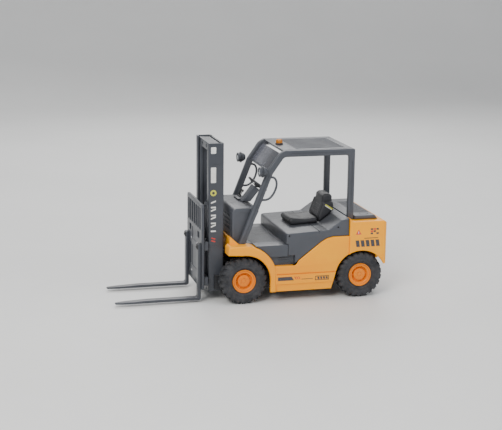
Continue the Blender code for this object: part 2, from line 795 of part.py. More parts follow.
def chassis_pan():
    plan = [
        (TUB_FRONT, TUB_HALF),
        (-39.0, TUB_HALF),
        (-39.0, 49.7),
        (-103.0, 49.7),
        (-103.0, TUB_HALF),
        (TUB_REAR, TUB_HALF),
        (TUB_REAR, NECK_HALF),
        (BODY_REAR + 1.2, NECK_HALF),
    ]
    plan += [(x, -y) for x, y in plan[::-1]]
    arm, eyes, holes = kingpin_arm(PAN_BOTTOM, PAN_FLOOR)
    rear = BODY_REAR + 1.2
    walls = [
        block((TUB_REAR, TUB_FRONT), span(s, TUB_HALF - TUB_WALL, TUB_HALF), (PAN_FLOOR - 1, TUB_TOP))
        for _, s in SIDES
    ]
    walls += [
        block((x, x + TUB_WALL), (-TUB_HALF + 1, TUB_HALF - 1), (PAN_FLOOR - 1, 30.0))
        for x in (TUB_FRONT - TUB_WALL, TUB_REAR)
    ]
    walls.append(block((rear, rear + TUB_WALL), (-NECK_HALF, NECK_HALF), (PAN_FLOOR - 1, 39.9)))
    lugs = [block((TUB_FRONT - 2, 31.0), span(s, 34.8, TUB_HALF), (PAN_BOTTOM + 1, 31.0)) for _, s in SIDES]
    posts = [disc(p, 2.5, "z", PAN_FLOOR - 1, BOARD_Z[0] - GAP, 12) for p in BOARD_POSTS]
    posts += [disc((REAR_X, s * 20.0), 3.0, "z", PAN_FLOOR - 1, BEAM_Z[0] - GAP, 12) for _, s in SIDES]
    part(
        "chassis_pan",
        prism(plan, "z", PAN_BOTTOM, PAN_FLOOR),
        BLACK,
        truck,
        add=[arm, *eyes, *walls, *lugs, *posts],
        cut=[
            *holes,
            block(HATCH_X, (-HATCH_HALF, HATCH_HALF), (PAN_BOTTOM - 1, PAN_FLOOR + 1)),
            block((SWITCH[0] - 2.3, SWITCH[0] + 5.3), (SWITCH[1] - 2.4, SWITCH[1] + 2.4), (10, 20)),
            disc((0, AXLE_Z), AXLE_RADIUS + 0.4, "y", -45, 45, 16),
            disc(MAST_PIVOT, 3.4, "y", -45, 45, 18),
        ],
    )
    part(
        "battery_cover",
        block(
            (HATCH_X[0] + GAP, HATCH_X[1] - GAP),
            (-HATCH_HALF + GAP, HATCH_HALF - GAP),
            (PAN_BOTTOM, PAN_FLOOR - 0.4),
        ),
        BLACK,
        truck,
    )
    beam, beam_eyes, beam_holes = kingpin_arm(*BEAM_Z)
    part("steering_beam", beam, BLACK, truck, add=beam_eyes, cut=beam_holes)


def power_switch():
    x, y = SWITCH
    part(
        "power_switch",
        block((x - 1.9, x + 1.9), (y - 2.0, y + 2.0), (PAN_BOTTOM - 1.6, PAN_FLOOR + 0.5)),
        WHITE_GEAR,
        switch_body,
        add=[block((x - 3.0, x + 3.0), (y - 4.0, y + 4.0), (PAN_FLOOR + GAP, PAN_FLOOR + 2.0))],
    )


CELL_RADIUS = 7.2
CELL_Z = PAN_FLOOR + GAP + CELL_RADIUS


def battery_pack():
    pitch = 2 * CELL_RADIUS - 0.3
    cells = [disc(((i - 1.5) * pitch, CELL_Z), CELL_RADIUS, "x", -92.0, -42.0, 14) for i in range(4)]
    part("battery_pack", cells[0], BLUE, truck, add=cells[1:])


def circuit_board():
    low, high = BOARD_Z
    chips = [
        block((-100, -90), (-8, 2), (high - 0.2, high + 1.8)),
        block((-84, -74), (6, 18), (high - 0.2, high + 5.0)),
        disc((-78.0, -12.0), 3.2, "z", high - 0.2, high + 8.0, 12),
        block((-114, -108), (-8, 8), (high - 0.2, high + 4.0)),
    ]
    part("circuit_board", block((-118, -68), (-24, 24), (low, high)), GREEN, truck, add=chips)


def speaker():
    profile = [(0, 69.0), (6.0, 69.0), (6.0, 73.0), (13.0, 76.5), (13.0, 79.0)]
    profile += [(11.0, 79.0), (4.0, 75.0), (0, 75.0)]
    part("speaker", lathe(profile, (-82.0, 0), "z", 20), BLACK, truck)


chassis_pan()
power_switch()
battery_pack()
circuit_board()
speaker()

# ---------------------------------------------------------------- drive


def gear(centre, teeth, low, high, turn=0.0):
    """A spur gear about an axis along y. turn is the angle of its first tooth, in degrees."""
    pitch_radius = GEAR_MODULE * teeth / 2
    root, tip = pitch_radius - 0.9 * GEAR_MODULE, pitch_radius + 0.6 * GEAR_MODULE
    pitch = 360.0 / teeth
    outline = []
    for i in range(teeth):
        middle = turn + i * pitch
        for radius, part_of_pitch in ((root, -0.26), (tip, -0.12), (tip, 0.12), (root, 0.26)):
            angle = math.radians(middle + part_of_pitch * pitch)
            outline.append((centre[0] + radius * math.cos(angle), centre[1] + radius * math.sin(angle)))
    return prism(outline, "y", low, high)


GEAR_Y = (-2.5, 2.5)
GEAR_TIP = GEAR_MODULE * (GEAR_TEETH / 2 + 0.6)
MOTOR_Y = (-34.0, -9.6)


def drive():
    part(
        "axle_gear",
        gear((0, AXLE_Z), GEAR_TEETH, *GEAR_Y),
        WHITE_GEAR,
        drive_axle,
        add=[disc((0, AXLE_Z), 4.5, "y", GEAR_Y[0] - 2.5, GEAR_Y[1] + 1.5, 16)],
        cut=[disc((0, AXLE_Z), AXLE_RADIUS + GAP, "y", -10, 10, 16)],
    )
    half_pitch = 180.0 / PINION_TEETH
    part(
        "motor_pinion",
        gear((PINION_X, AXLE_Z), PINION_TEETH, GEAR_Y[0] - 0.5, GEAR_Y[1] + 0.5, turn=half_pitch),
        STEEL,
        pinion_body,
        add=[disc((PINION_X, AXLE_Z), 1.0, "y", MOTOR_Y[1] + GAP, 7.0, 10)],
    )
    part(
        "drive_motor",
        disc((PINION_X, AXLE_Z), 9.6, "y", *MOTOR_Y, 20),
        STEEL,
        truck,
        add=[disc((PINION_X, AXLE_Z), 3.0, "y", MOTOR_Y[0] - 1.5, MOTOR_Y[0] + 1, 12)],
    )
    low, high = PAN_FLOOR + GAP, AXLE_Z + GEAR_TIP + 1.9
    trunnion = disc(TILT_TRUNNION, 1.9, "y", -10, 10, 14)
    part(
        "gearbox_housing",
        block((PINION_X - 5.0, GEAR_TIP + 2.0), (-8.8, 7.8), (low, high), 0.8),
        BLACK,
        truck,
        add=[
            block((-12.0, -4.0), span(s, 4.6, 7.4), (high - 1, TILT_TRUNNION[1] + 3.4)) for _, s in SIDES
        ],
        cut=[
            block((PINION_X - 4.2, GEAR_TIP + 0.5), (-7.2, 6.2), (10, high - 1.6)),
            disc((0, AXLE_Z), AXLE_RADIUS + 0.4, "y", -20, 20, 16),
            disc((PINION_X, AXLE_Z), 1.4, "y", -20, 20, 12),
            trunnion,
        ],
    )
    part("front_axle", disc((0, AXLE_Z), AXLE_RADIUS, "y", -53.2, 53.2, 16), STEEL, drive_axle)


RIM_PROFILE = (
    (0.0, 6.0),
    (4.6, 6.0),
    (5.6, 5.0),
    (5.9, 3.0),
    (10.2, 3.0),
    (11.0, 6.6),
    (11.8, 8.4),
    (13.2, 8.6),
    (RIM_RADIUS, 8.0),
    (RIM_RADIUS, -7.0),
    (11.5, -7.0),
    (11.0, 0.0),
    (6.0, 0.0),
    (5.6, -7.0),
    (AXLE_RADIUS + GAP, -7.0),
    (AXLE_RADIUS + GAP, 4.6),
    (0.0, 4.6),
)
TYRE_PROFILE = (
    (RIM_RADIUS + GAP, 7.4),
    (16.5, 9.0),
    (23.0, TYRE_WIDTH / 2),
    (25.6, 8.6),
    (TYRE_RADIUS, 6.4),
    (TYRE_RADIUS, -6.4),
    (25.6, -8.6),
    (23.0, -TYRE_WIDTH / 2),
    (16.5, -9.0),
    (RIM_RADIUS + GAP, -7.4),
)


def wheel(name, side, x, body):
    for kind, profile, mat, sides in (
        ("rim", RIM_PROFILE, ORANGE, 24),
        ("tyre", TYRE_PROFILE, RUBBER, 32),
    ):
        line = [(r, side * (WHEEL_Y + a)) for r, a in profile]
        part(f"{name}_{kind}", lathe(line, (x, AXLE_Z), "y", sides), mat, body)


drive()
for side_name, side_sign in SIDES:
    wheel(f"front_{side_name}", side_sign, 0.0, drive_axle)
    wheel(f"rear_{side_name}", side_sign, REAR_X, rear_wheel_body[side_name])

# ---------------------------------------------------------------- steering

ARM_Z = (20.0, 23.0)
TIE_Z = (23.4, 25.6)
HORN_Z = (26.0, 28.4)
PIN_RADIUS = 1.2


def pivot_slot(x, y, toward, z):
    """A slot for a tie rod pin at x, y. It is longer on the side away from its arm's own axis."""
    ends = sorted((x - toward * 1.6, x + toward * 2.7))
    return block(ends, (y - 2.0, y + 2.0), (z[0] - 1, z[1] + 1))


def knuckle(name, side):
    y = side * KINGPIN_Y
    end = TIE_X + 4.2
    part(
        f"knuckle_{name}",
        disc((REAR_X, y), KINGPIN_RADIUS, "z", PAN_BOTTOM + 0.3, BEAM_Z[1] - 0.3, 12),
        BLACK,
        knuckle_body[name],
        add=[
            disc((REAR_X, y), KINGPIN_EYE, "z", PAN_FLOOR + 0.5, BEAM_Z[0] - 0.5, 16),
            block((REAR_X, end), (y - 3.3, y + 3.3), ARM_Z),
            rod((REAR_X, y, AXLE_Z), (REAR_X, side * 53.2, AXLE_Z), AXLE_RADIUS, 14),
        ],
        cut=[pivot_slot(TIE_X, y, 1, ARM_Z)],
    )


def steering():
    pins = [
        disc((TIE_X, s * KINGPIN_Y), PIN_RADIUS, "z", ARM_Z[0] + 0.3, TIE_Z[0] + 1, 10) for _, s in SIDES
    ]
    pins.append(disc((TIE_X, 0), PIN_RADIUS, "z", TIE_Z[1] - 1, HORN_Z[1] - 0.2, 10))
    part(
        "tie_rod",
        block((TIE_X - 2.0, TIE_X + 2.0), (-KINGPIN_Y - 2.5, KINGPIN_Y + 2.5), TIE_Z),
        BLACK,
        tie_rod_body,
        add=pins,
    )
    part(
        "servo_horn",
        disc((HORN_X, 0), 4.0, "z", *HORN_Z, 16),
        WHITE_GEAR,
        horn_body,
        add=[block((TIE_X - 4.2, HORN_X), (-3.3, 3.3), HORN_Z)],
        cut=[pivot_slot(TIE_X, 0, -1, HORN_Z)],
    )
    part(
        "steering_servo",
        block((HORN_X - 5.5, TUB_REAR - 0.5), (-6.5, 6.5), (PAN_FLOOR + GAP, HORN_Z[0] - GAP), 0.8),
        BLACK,
        truck,
    )


steering()
for side_name, side_sign in SIDES:
    knuckle(side_name, side_sign)

# ---------------------------------------------------------------- mast, carriage and forks

CHANNEL = 2.0  # wall of the mast channels
CHANNEL_IN = 25.5  # inner edge of the channel flanges
RAIL_IN = 21.5  # inner face of the inner mast's rails
RAIL_OUT = MAST_HALF - CHANNEL - 0.5
RAIL_X = (MAST_BACK + CHANNEL + 0.4, MAST_FRONT - CHANNEL - 0.4)
CYLINDER_X = 29.5
CYLINDER_TOP = 112.0
ROD_RADIUS = 2.2


def outer_mast():
    def channel(side):
        outer = [
            (MAST_BACK, CHANNEL_IN),
            (MAST_BACK, MAST_HALF),
            (MAST_FRONT, MAST_HALF),
            (MAST_FRONT, CHANNEL_IN),
            (MAST_FRONT - CHANNEL, CHANNEL_IN),
            (MAST_FRONT - CHANNEL, MAST_HALF - CHANNEL),
            (MAST_BACK + CHANNEL, MAST_HALF - CHANNEL),
            (MAST_BACK + CHANNEL, CHANNEL_IN),
        ]
        return prism([(u, side * v) for u, v in outer], "z", MAST_BOTTOM, MAST_TOP)

    back = (MAST_BACK, MAST_BACK + CHANNEL)
    heights = ((MAST_BOTTOM, 30.0), (42.0, 58.0), (108.0, 120.0), (176.0, 186.5))
    plates = [block(back, (-33, 33), z) for z in heights]
    floor = block((MAST_BACK, MAST_FRONT - 4), (-33, 33), (MAST_BOTTOM, MAST_BOTTOM + 2.2))
    pivots = [disc(MAST_PIVOT, 3.0, "y", *span(s, MAST_HALF - 1, TUB_HALF), 16) for _, s in SIDES]
    lug = block((TILT_PIN[0] - 2.6, MAST_BACK + 1), (-1.5, 1.5), (TILT_PIN[1] - 3.2, TILT_PIN[1] + 3.2))
    part(
        "outer_mast",
        channel(1),
        MAST_GREY,
        mast_body,
        add=[channel(-1), *plates, floor, *pivots, lug],
        cut=[disc(TILT_PIN, 1.9, "y", -5, 5, 14)],
    )


def inner_mast():
    top = MAST_TOP - 1.5
    rails = [block(RAIL_X, span(s, RAIL_IN, RAIL_OUT), (16.0, top)) for _, s in SIDES]
    cross = [
        block((RAIL_X[0], RAIL_X[0] + 2.2), (-RAIL_IN - 1, RAIL_IN + 1), z)
        for z in ((30.0, 40.0), (122.0, 130.0))
    ]
    cross.append(block(RAIL_X, (-RAIL_IN - 1, RAIL_IN + 1), (176.0, top)))
    grooves = [
        block((RAIL_X[0] + 3, RAIL_X[1] - 3), span(s, RAIL_IN - 1, RAIL_IN + 3), (10.0, 174.0))
        for _, s in SIDES
    ]
    part("inner_mast", rails[0], MAST_GREY, inner_body, add=[rails[1], *cross], cut=grooves)


def lift():
    cylinder = [(ROD_RADIUS + 0.4, 30.0), (4.6, 30.0), (4.6, CYLINDER_TOP - 4), (5.4, CYLINDER_TOP - 4)]
    cylinder += [(5.4, CYLINDER_TOP), (ROD_RADIUS + 0.4, CYLINDER_TOP)]
    part("lift_cylinder", lathe(cylinder, (CYLINDER_X, 0), "z", 18), MAST_GREY, mast_body)
    part("lift_rod", disc((CYLINDER_X, 0), ROD_RADIUS, "z", 40.0, 175.6, 14), STEEL, inner_body)
    part(
        "lift_motor",
        block((25.0, 34.5), (-15.0, 15.0), (MAST_BOTTOM + 2.6, 29.6), 1.0),
        BLACK,
        mast_body,
    )


CARRIAGE_X = (MAST_FRONT + 1.0, BACKREST_FRONT - 3.0 - GAP)
ROLLER_Z = (22.0, 34.0, 60.0, 72.0)


def carriage():
    bars = [block(CARRIAGE_X, (-38.5, 38.5), z) for z in ((20.0, 30.0), (62.0, 72.0))]
    cheeks = [
        block((RAIL_X[0] + 3.5, CARRIAGE_X[0] + 1), span(s, RAIL_IN - 3.0, RAIL_IN - 0.4), (22.0, 72.0))
        for _, s in SIDES
    ]
    shoes = [
        block((RAIL_X[0] + 3.6, RAIL_X[1] - 3.6), span(s, RAIL_IN - 1, RAIL_IN + 2.6), z)
        for _, s in SIDES
        for z in (ROLLER_Z[:2], ROLLER_Z[2:])
    ]
    part("carriage", bars[0], MAST_GREY, carriage_body, add=[*cheeks, bars[1], *shoes])


def load_backrest():
    corner = 5.0
    half, top, low = BACKREST_HALF, BACKREST_TOP, 15.0
    outline = [
        (-half, low),
        *arc((-half + corner, top - corner), corner, 180, 90, 3),
        *arc((half - corner, top - corner), corner, 90, 0, 3),
        (half, low),
    ]
    slits = 7
    pitch = 2 * (half - 5) / slits
    middles = [-half + 5 + pitch * (i + 0.5) for i in range(slits)]
    deep = (BACKREST_FRONT - 6, BACKREST_FRONT + 1)
    windows = [block(deep, span(s, 17.0, 27.5), z) for _, s in SIDES for z in ((32.0, 60.0), (74.0, 82.0))]
    part(
        "load_backrest",
        prism(outline, "x", BACKREST_FRONT - 3.0, BACKREST_FRONT),
        MAST_GREY,
        carriage_body,
        cut=[
            *[block(deep, (y - pitch / 2 + 1.2, y + pitch / 2 - 1.2), (86.0, 112.0)) for y in middles],
            *windows,
        ],
    )


def fork(name, side):
    heel = BACKREST_FRONT + GAP
    outline = [
        (heel, 70.0),
        (heel + 3.4, 70.0),
        (heel + 3.6, FORK_TOP + 2),
        (heel + 5.6, FORK_TOP),
        (FORK_TIP - 38, FORK_TOP),
        (FORK_TIP - 1, FORK_BOTTOM + 1.8),
        (FORK_TIP, FORK_BOTTOM + 0.9),
        (FORK_TIP - 1, FORK_BOTTOM),
        (heel + 1.5, FORK_BOTTOM),
        (heel, FORK_BOTTOM + 1.5),
    ]
    y = span(side, FORK_Y - FORK_WIDTH / 2, FORK_Y + FORK_WIDTH / 2)
    taper = [(FORK_TIP - 22, y[0] - 1), (FORK_TIP + 2, y[0] - 1), (FORK_TIP + 2, y[0] + 2.4)]
    other = [(FORK_TIP - 22, y[1] + 1), (FORK_TIP + 2, y[1] + 1), (FORK_TIP + 2, y[1] - 2.4)]
    part(
        f"fork_{name}",
        prism(outline, "y", *y),
        MAST_GREY,
        carriage_body,
        cut=[prism(taper, "z", 0, 20), prism(other, "z", 0, 20)],
    )


def tilt_linkage():
    start, end = Vector(TILT_TRUNNION), Vector(TILT_PIN)
    run = (end - start).normalized()

    def at(distance):
        point = start + run * distance
        return point.x, 0, point.y

    part(
        "tilt_cylinder",
        rod(at(-3.5), at(13.0), 3.4, 16),
        MAST_GREY,
        tilt_body,
        add=[disc(TILT_TRUNNION, 1.5, "y", -7.3, 7.3, 14)],
        cut=[rod(at(3.0), at(16.0), 2.0, 14)],
    )
    eye = (end - start).length
    clevis = (TILT_PIN[0] - 5.4, TILT_PIN[0] + 2.0)
    clevis_z = (TILT_PIN[1] - 2.2, TILT_PIN[1] + 2.2)
    part(
        "tilt_rod",
        rod(at(6.5), at(eye - 4.2), 1.6, 12),
        STEEL,
        tilt_rod_body,
        add=[
            block((clevis[0], clevis[0] + 2.0), (-4.4, 4.4), clevis_z),
            *[block(clevis, span(s, 2.0, 4.4), clevis_z) for _, s in SIDES],
            disc(TILT_PIN, 1.3, "y", -4.4, 4.4, 12),
        ],
    )


outer_mast()
inner_mast()
lift()
carriage()
load_backrest()
tilt_linkage()
for side_name, side_sign in SIDES:
    fork(side_name, side_sign)
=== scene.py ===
"""The looks of a radio-controlled toy forklift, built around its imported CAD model.

Shapes are written in millimetres in the truck's own frame: x forward from the front axle, y to the
driver's left, z up from the floor. ORIGIN_X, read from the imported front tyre, places that frame.
"""

import math

import bmesh
import bpy
from mathutils import Matrix, Vector

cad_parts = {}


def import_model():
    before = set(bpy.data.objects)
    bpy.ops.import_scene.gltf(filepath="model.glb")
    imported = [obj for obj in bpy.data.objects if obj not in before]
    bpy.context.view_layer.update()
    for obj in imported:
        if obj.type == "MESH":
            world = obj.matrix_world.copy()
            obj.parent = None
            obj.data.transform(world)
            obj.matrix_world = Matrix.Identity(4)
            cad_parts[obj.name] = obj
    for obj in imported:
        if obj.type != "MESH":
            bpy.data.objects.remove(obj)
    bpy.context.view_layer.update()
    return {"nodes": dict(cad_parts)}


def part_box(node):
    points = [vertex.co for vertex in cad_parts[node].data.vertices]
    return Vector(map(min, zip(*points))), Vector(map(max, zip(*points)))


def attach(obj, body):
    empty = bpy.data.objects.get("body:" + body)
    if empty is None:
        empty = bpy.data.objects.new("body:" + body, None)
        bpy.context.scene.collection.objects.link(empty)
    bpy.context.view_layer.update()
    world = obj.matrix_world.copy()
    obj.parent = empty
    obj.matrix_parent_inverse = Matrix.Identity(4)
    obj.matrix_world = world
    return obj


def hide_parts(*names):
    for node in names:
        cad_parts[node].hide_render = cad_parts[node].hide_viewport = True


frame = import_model()

MM = 0.001
SIDES = (("left", 1), ("right", -1))
BOTH = (1, -1)

# ---------------------------------------------------------------- sizes read from the frame

ORIGIN_X = sum(corner[0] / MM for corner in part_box("front_left_tyre")) / 2


def reach(node, axis):
    """The lowest and highest coordinate of a CAD node along x, y or z, in the truck's frame."""
    index, origin = "xyz".index(axis), ORIGIN_X if axis == "x" else 0
    return tuple(corner[index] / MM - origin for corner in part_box(node))


GAP, SHELL_WALL, PLATE = 0.3, 3, 2.4
TYRE_Y = reach("front_left_tyre", "y")
TYRE_RADIUS = AXLE_Z = reach("front_left_tyre", "z")[1] / 2
WHEEL_Y = sum(TYRE_Y) / 2
RIM_RADIUS = (reach("front_left_rim", "x")[1] - reach("front_left_rim", "x")[0]) / 2
REAR_X = sum(reach("rear_left_tyre", "x")) / 2
BODY_REAR, BODY_SPLIT = reach("counterweight", "x")
BODY_SPLIT = round(BODY_SPLIT, 2)
HALF_WIDTH = reach("counterweight", "y")[1]
FLANK_Y = HALF_WIDTH - 1.5
FENDER_FRONT = reach("side_shell_left", "x")[1]
FENDER_TOP, FLANK_TOP, SILL_TOP, SILL_BOTTOM = 70, 76, 44, reach("side_shell_left", "z")[0]
CAB_HALF, BODY_HALF = reach("front_cowl", "y")[1], reach("engine_hood", "y")[1]
STEP_HALF, STEP_TOP, STEP_REAR = 54, 55.5, -60.4
COWL_FRONT, COWL_TOP = reach("front_cowl", "x")[1], reach("front_cowl", "z")[1]
HOOD_BACK, HOOD_FRONT = reach("engine_hood", "x")
HOOD_TOP, FLOOR_TOP = (reach(node, "z")[1] for node in ("engine_hood", "cab_floor"))
WEIGHT_TOP, DECK_TOP = reach("rear_deck", "z")[0] - GAP, reach("rear_deck", "z")[1]
ROOF_TOP = reach("roof_panel", "z")[1]
GUARD_Y = reach("guard_side_left", "y")
MAST_BACK, MAST_FRONT, MAST_HALF = 19.5, reach("outer_mast", "x")[1], 34
MAST_BOTTOM, MAST_TOP = reach("outer_mast", "z")
BACKREST_BACK, BACKREST_FRONT = reach("load_backrest", "x")
FORK_TIP = reach("fork_left", "x")[1]

# ---------------------------------------------------------------- shapes, as bmesh in the truck's frame

PLACE = {"x": lambda u, v, w: (w, u, v), "y": lambda u, v, w: (u, w, v), "z": lambda u, v, w: (u, v, w)}


def arc(centre, radius, start, end, steps, squash=1):
    """Points on an arc, in degrees. squash scales its first axis."""
    angles = [math.radians(start + (end - start) * i / steps) for i in range(steps + 1)]
    return [(centre[0] + radius * squash * math.cos(a), centre[1] + radius * math.sin(a)) for a in angles]


def turned_area(outline):
    """Twice the signed area of a closed outline."""
    pairs = zip(outline, outline[1:] + outline[:1])
    return sum(a[0] * b[1] - b[0] * a[1] for a, b in pairs)


def fillet(outline, radius, steps=4):
    """A closed outline with its corners rounded. radius is one number, or one for each corner."""
    count = len(outline)
    radii = [radius] * count if isinstance(radius, (int, float)) else radius
    rounded = []
    for i, point in enumerate(outline):
        here, before, after = Vector(point), Vector(outline[i - 1]), Vector(outline[(i + 1) % count])
        to_before, to_after = (before - here), (after - here)
        angle = to_before.angle(to_after)
        if radii[i] <= 0:
            rounded.append(tuple(here))
            continue
        setback = radii[i] / math.tan(min(angle, 3.1) / 2)
        setback = min(setback, 0.48 * to_before.length, 0.48 * to_after.length)
        first = here + to_before.normalized() * setback
        last = here + to_after.normalized() * setback
        for k in range(steps + 1):
            t = k / steps
            rounded.append(tuple(first * (1 - t) ** 2 + here * 2 * t * (1 - t) + last * t**2))
    return rounded


def offset_line(points, distance, closed=False, least=0.5):
    """A line of points moved sideways by distance, to its left, which is inwards on a counter-clockwise
    outline. least keeps a sharp corner from running far out."""
    moved = []
    for i, point in enumerate(points):
        here, after = Vector(point), Vector(points[(i + 1) % len(points)])
        runs = [here - Vector(points[i - 1])] if i or closed else []
        runs += [after - here] if closed or i + 1 < len(points) else []
        runs = [run.normalized() for run in runs]
        normals = [Vector((-run.y, run.x)) for run in runs]
        mean = sum(normals, Vector((0, 0))).normalized()
        moved.append(tuple(here + mean * distance / max(mean.dot(normals[0]), least)))
    return moved


def outward(bm):
    """The closed shape, with its faces turned outwards."""
    bmesh.ops.recalc_face_normals(bm, faces=bm.faces)
    if bm.calc_volume(signed=True) < 0:
        bmesh.ops.reverse_faces(bm, faces=bm.faces)
    return bm


def bridge(bm, rings):
    """Faces between each ring of vertices and the next."""
    for first, second in zip(rings, rings[1:]):
        count = len(first)
        for k in range(count):
            n = (k + 1) % count
            bm.faces.new((first[k], first[n], second[n], second[k]))


def prism(outline, along, low, high, soft=0, steps=3, corner=0):
    """An extruded outline. soft is the radius that rounds its edge at the low and at the high end, and
    corner the radius of its outline's corners: one number, or one for each."""
    corners = [corner] * len(outline) if isinstance(corner, (int, float)) else corner
    if turned_area(outline) < 0:
        outline, corners = outline[::-1], corners[::-1]
    soft = (soft, soft) if isinstance(soft, (int, float)) else soft
    levels = []
    for end, radius, way in ((low, soft[0], 1), (high, soft[1], -1)):
        turns = range(steps + 1) if radius else [steps]
        found = []
        for i in turns:
            a = math.radians(90 * i / steps)
            found.append((radius * (1 - math.sin(a)), end + way * radius * (1 - math.cos(a))))
        levels += found if way > 0 else found[::-1]
    bm = bmesh.new()
    rings = []
    for distance, w in levels:
        points = offset_line(outline, distance, True, 0.35) if distance > 1e-6 else outline
        points = fillet(points, [max(r - distance, 0.06) if r else 0 for r in corners])
        rings.append([bm.verts.new(PLACE[along](u, v, w)) for u, v in points])
    bm.faces.new(rings[0][::-1])
    bm.faces.new(rings[-1])
    bridge(bm, rings)
    return outward(bm)


def rect(u, v, lean=0):
    """The outline of a rectangle between the pairs u and v. lean moves its lower edge back."""
    return [(u[0] - lean, v[0]), (u[1] - lean, v[0]), (u[1], v[1]), (u[0], v[1])]


def around(middle, half):
    return middle - half, middle + half


def slab(outline, y, soft=0, steps=3, corner=0):
    """A prism across the truck, between the pair y or from -y to y."""
    return prism(outline, "y", *(around(0, y) if isinstance(y, (int, float)) else y), soft, steps, corner)


def block(x, y, z, soft=0, corner=0, along="z"):
    """A box between the pairs x, y and z, or from -y to y. corner rounds its edges along one axis, soft its
    ends."""
    y = around(0, y) if isinstance(y, (int, float)) else y
    u, v, w = {"x": (y, z, x), "y": (x, z, y), "z": (x, y, z)}[along]
    return prism(rect(u, v), along, *w, soft, corner=corner or soft)


def span(side, low, high):
    """The pair of y values low to high on the left side, or its mirror on the right."""
    return (low, high) if side > 0 else (-high, -low)


def ends(side, inner, outer):
    """Edge radii for the inner and the outer end of a shape, in the order of its y on that side."""
    return (inner, outer) if side > 0 else (outer, inner)


def twins(x, y, z, *form):
    """A block between the positive pair y, and its mirror on the truck's right."""
    return [block(x, span(side, *y), z, *form) for side in BOTH]


def disc(centre, radius, along, low, high, soft=0, sides=48):
    """A cylinder along an axis."""
    return prism(circle(centre, radius, sides), along, low, high, soft)


def lathe(profile, centre, along, sides=64):
    """A closed profile of (radius, distance along the axis), turned about the axis through centre."""
    bm = bmesh.new()
    rings = []
    for i in range(sides):
        a = 2 * math.pi * i / sides
        c, s = math.cos(a), math.sin(a)
        rings.append(
            [bm.verts.new(PLACE[along](centre[0] + r * c, centre[1] + r * s, w)) for r, w in profile])
    bridge(bm, rings + rings[:1])
    bmesh.ops.remove_doubles(bm, verts=bm.verts, dist=0.0005)
    return outward(bm)


def smooth_path(points, steps=6):
    """A smooth line (Catmull-Rom) through 3-D points."""
    points = [Vector(p) for p in points]
    padded = [points[0] * 2 - points[1], *points, points[-1] * 2 - points[-2]]
    line = []
    for a, b, c, d in zip(padded, padded[1:], padded[2:], padded[3:]):
        for k in range(steps):
            t = k / steps
            line.append(
                0.5 * (
                    2 * b + (c - a) * t + (2 * a - 5 * b + 4 * c - d) * t**2 + (3 * b - a - 3 * c + d) * t**3)
            )
    return [*line, points[-1]]


def sweep(path, section, up=(0, 1, 0)):
    """A closed section of (across, up) points, carried along a path with its second axis kept near up."""
    path = [Vector(p) for p in path]
    up = Vector(up)
    bm = bmesh.new()
    rings = []
    for i, point in enumerate(path):
        before = (point - path[i - 1]).normalized() if i else None
        after = (path[i + 1] - point).normalized() if i + 1 < len(path) else None
        run = ((before or after) + (after or before)).normalized()
        stretch = 1 / max(run.dot(after or before), 0.5)
        across = run.cross(up).normalized()
        rise = across.cross(run)
        rings.append([bm.verts.new(point + across * u * stretch + rise * v) for u, v in section])
    bm.faces.new(rings[0][::-1])
    bm.faces.new(rings[-1])
    bridge(bm, rings)
    return outward(bm)


def circle(centre, radius, sides):
    return arc(centre, radius, 0, 360 * (sides - 1) / sides, sides - 1)


def tube(points, radius, sides=16, up=(0, 1, 0)):
    return sweep(points, circle((0, 0), radius, sides), up)


def turned(bm, centre, axis, degrees):
    """The shape, turned about an axis through centre."""
    turn = Matrix.Rotation(math.radians(degrees), 3, axis)
    bmesh.ops.rotate(bm, cent=centre, matrix=turn, verts=bm.verts)
    return bm


def mesh_of(name, bm):
    mesh = bpy.data.meshes.new(name)
    bm.to_mesh(mesh)
    bm.free()
    return mesh


def linked(name, data):
    """A new object in the scene."""
    obj = bpy.data.objects.new(name, data)
    bpy.context.scene.collection.objects.link(obj)
    return obj


def merged(*shapes):
    """Several shapes as one bmesh, without a Boolean."""
    whole = bmesh.new()
    for shape in shapes:
        mesh = mesh_of("part", shape)
        whole.from_mesh(mesh)
        bpy.data.meshes.remove(mesh)
    return whole


def joined(base, add=(), cut=()):
    """base, with each shape of add united with it and then each shape of cut taken away."""
    obj = linked("base", mesh_of("base", base))
    tools = []
    for operation, shapes in (("UNION", add), ("DIFFERENCE", cut)):
        for shape in shapes:
            tool = linked("tool", mesh_of("tool", shape))
            tools.append(tool)
            modifier = obj.modifiers.new("join", "BOOLEAN")
            modifier.operation = operation
            modifier.solver = "EXACT"
            modifier.object = tool
    bpy.context.view_layer.update()
    evaluated = obj.evaluated_get(bpy.context.evaluated_depsgraph_get())
    bm = bmesh.new()
    bm.from_mesh(evaluated.data)
    bmesh.ops.remove_doubles(bm, verts=bm.verts, dist=0.002)
    bmesh.ops.dissolve_degenerate(bm, dist=0.001, edges=bm.edges)
    for used in (obj, *tools):
        mesh = used.data
        bpy.data.objects.remove(used, do_unlink=True)
        bpy.data.meshes.remove(mesh)
    return bm


def piece(name, bm, material, body="truck", edge=0, sharp=32):
    """A finished piece on a body, in millimetres until here. A dotted name starts with the CAD node that it
    replaces. edge is the width of a narrow bevel on the sharp edges, as every moulding has."""
    bmesh.ops.translate(bm, vec=(ORIGIN_X, 0, 0), verts=bm.verts)
    bmesh.ops.scale(bm, vec=(MM, MM, MM), verts=bm.verts)
    mesh = mesh_of(name, bm)
    mesh.materials.append(material)
    mesh.shade_smooth()
    mesh.set_sharp_from_angle(angle=math.radians(sharp))
    obj = linked(name, mesh)
    if edge:
        bevel = obj.modifiers.new("edge", "BEVEL")
        bevel.width = edge * MM
        bevel.segments = 2
        bevel.limit_method = "ANGLE"
        bevel.angle_limit = math.radians(35)
        bevel.harden_normals = True
        bevel.use_clamp_overlap = True
    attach(obj, body)
    if "." in name:
        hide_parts(name.split(".")[0])


# ---------------------------------------------------------------- materials


PACKED = "packed_"
for material in list(bpy.data.materials):
    material.name = PACKED + material.name


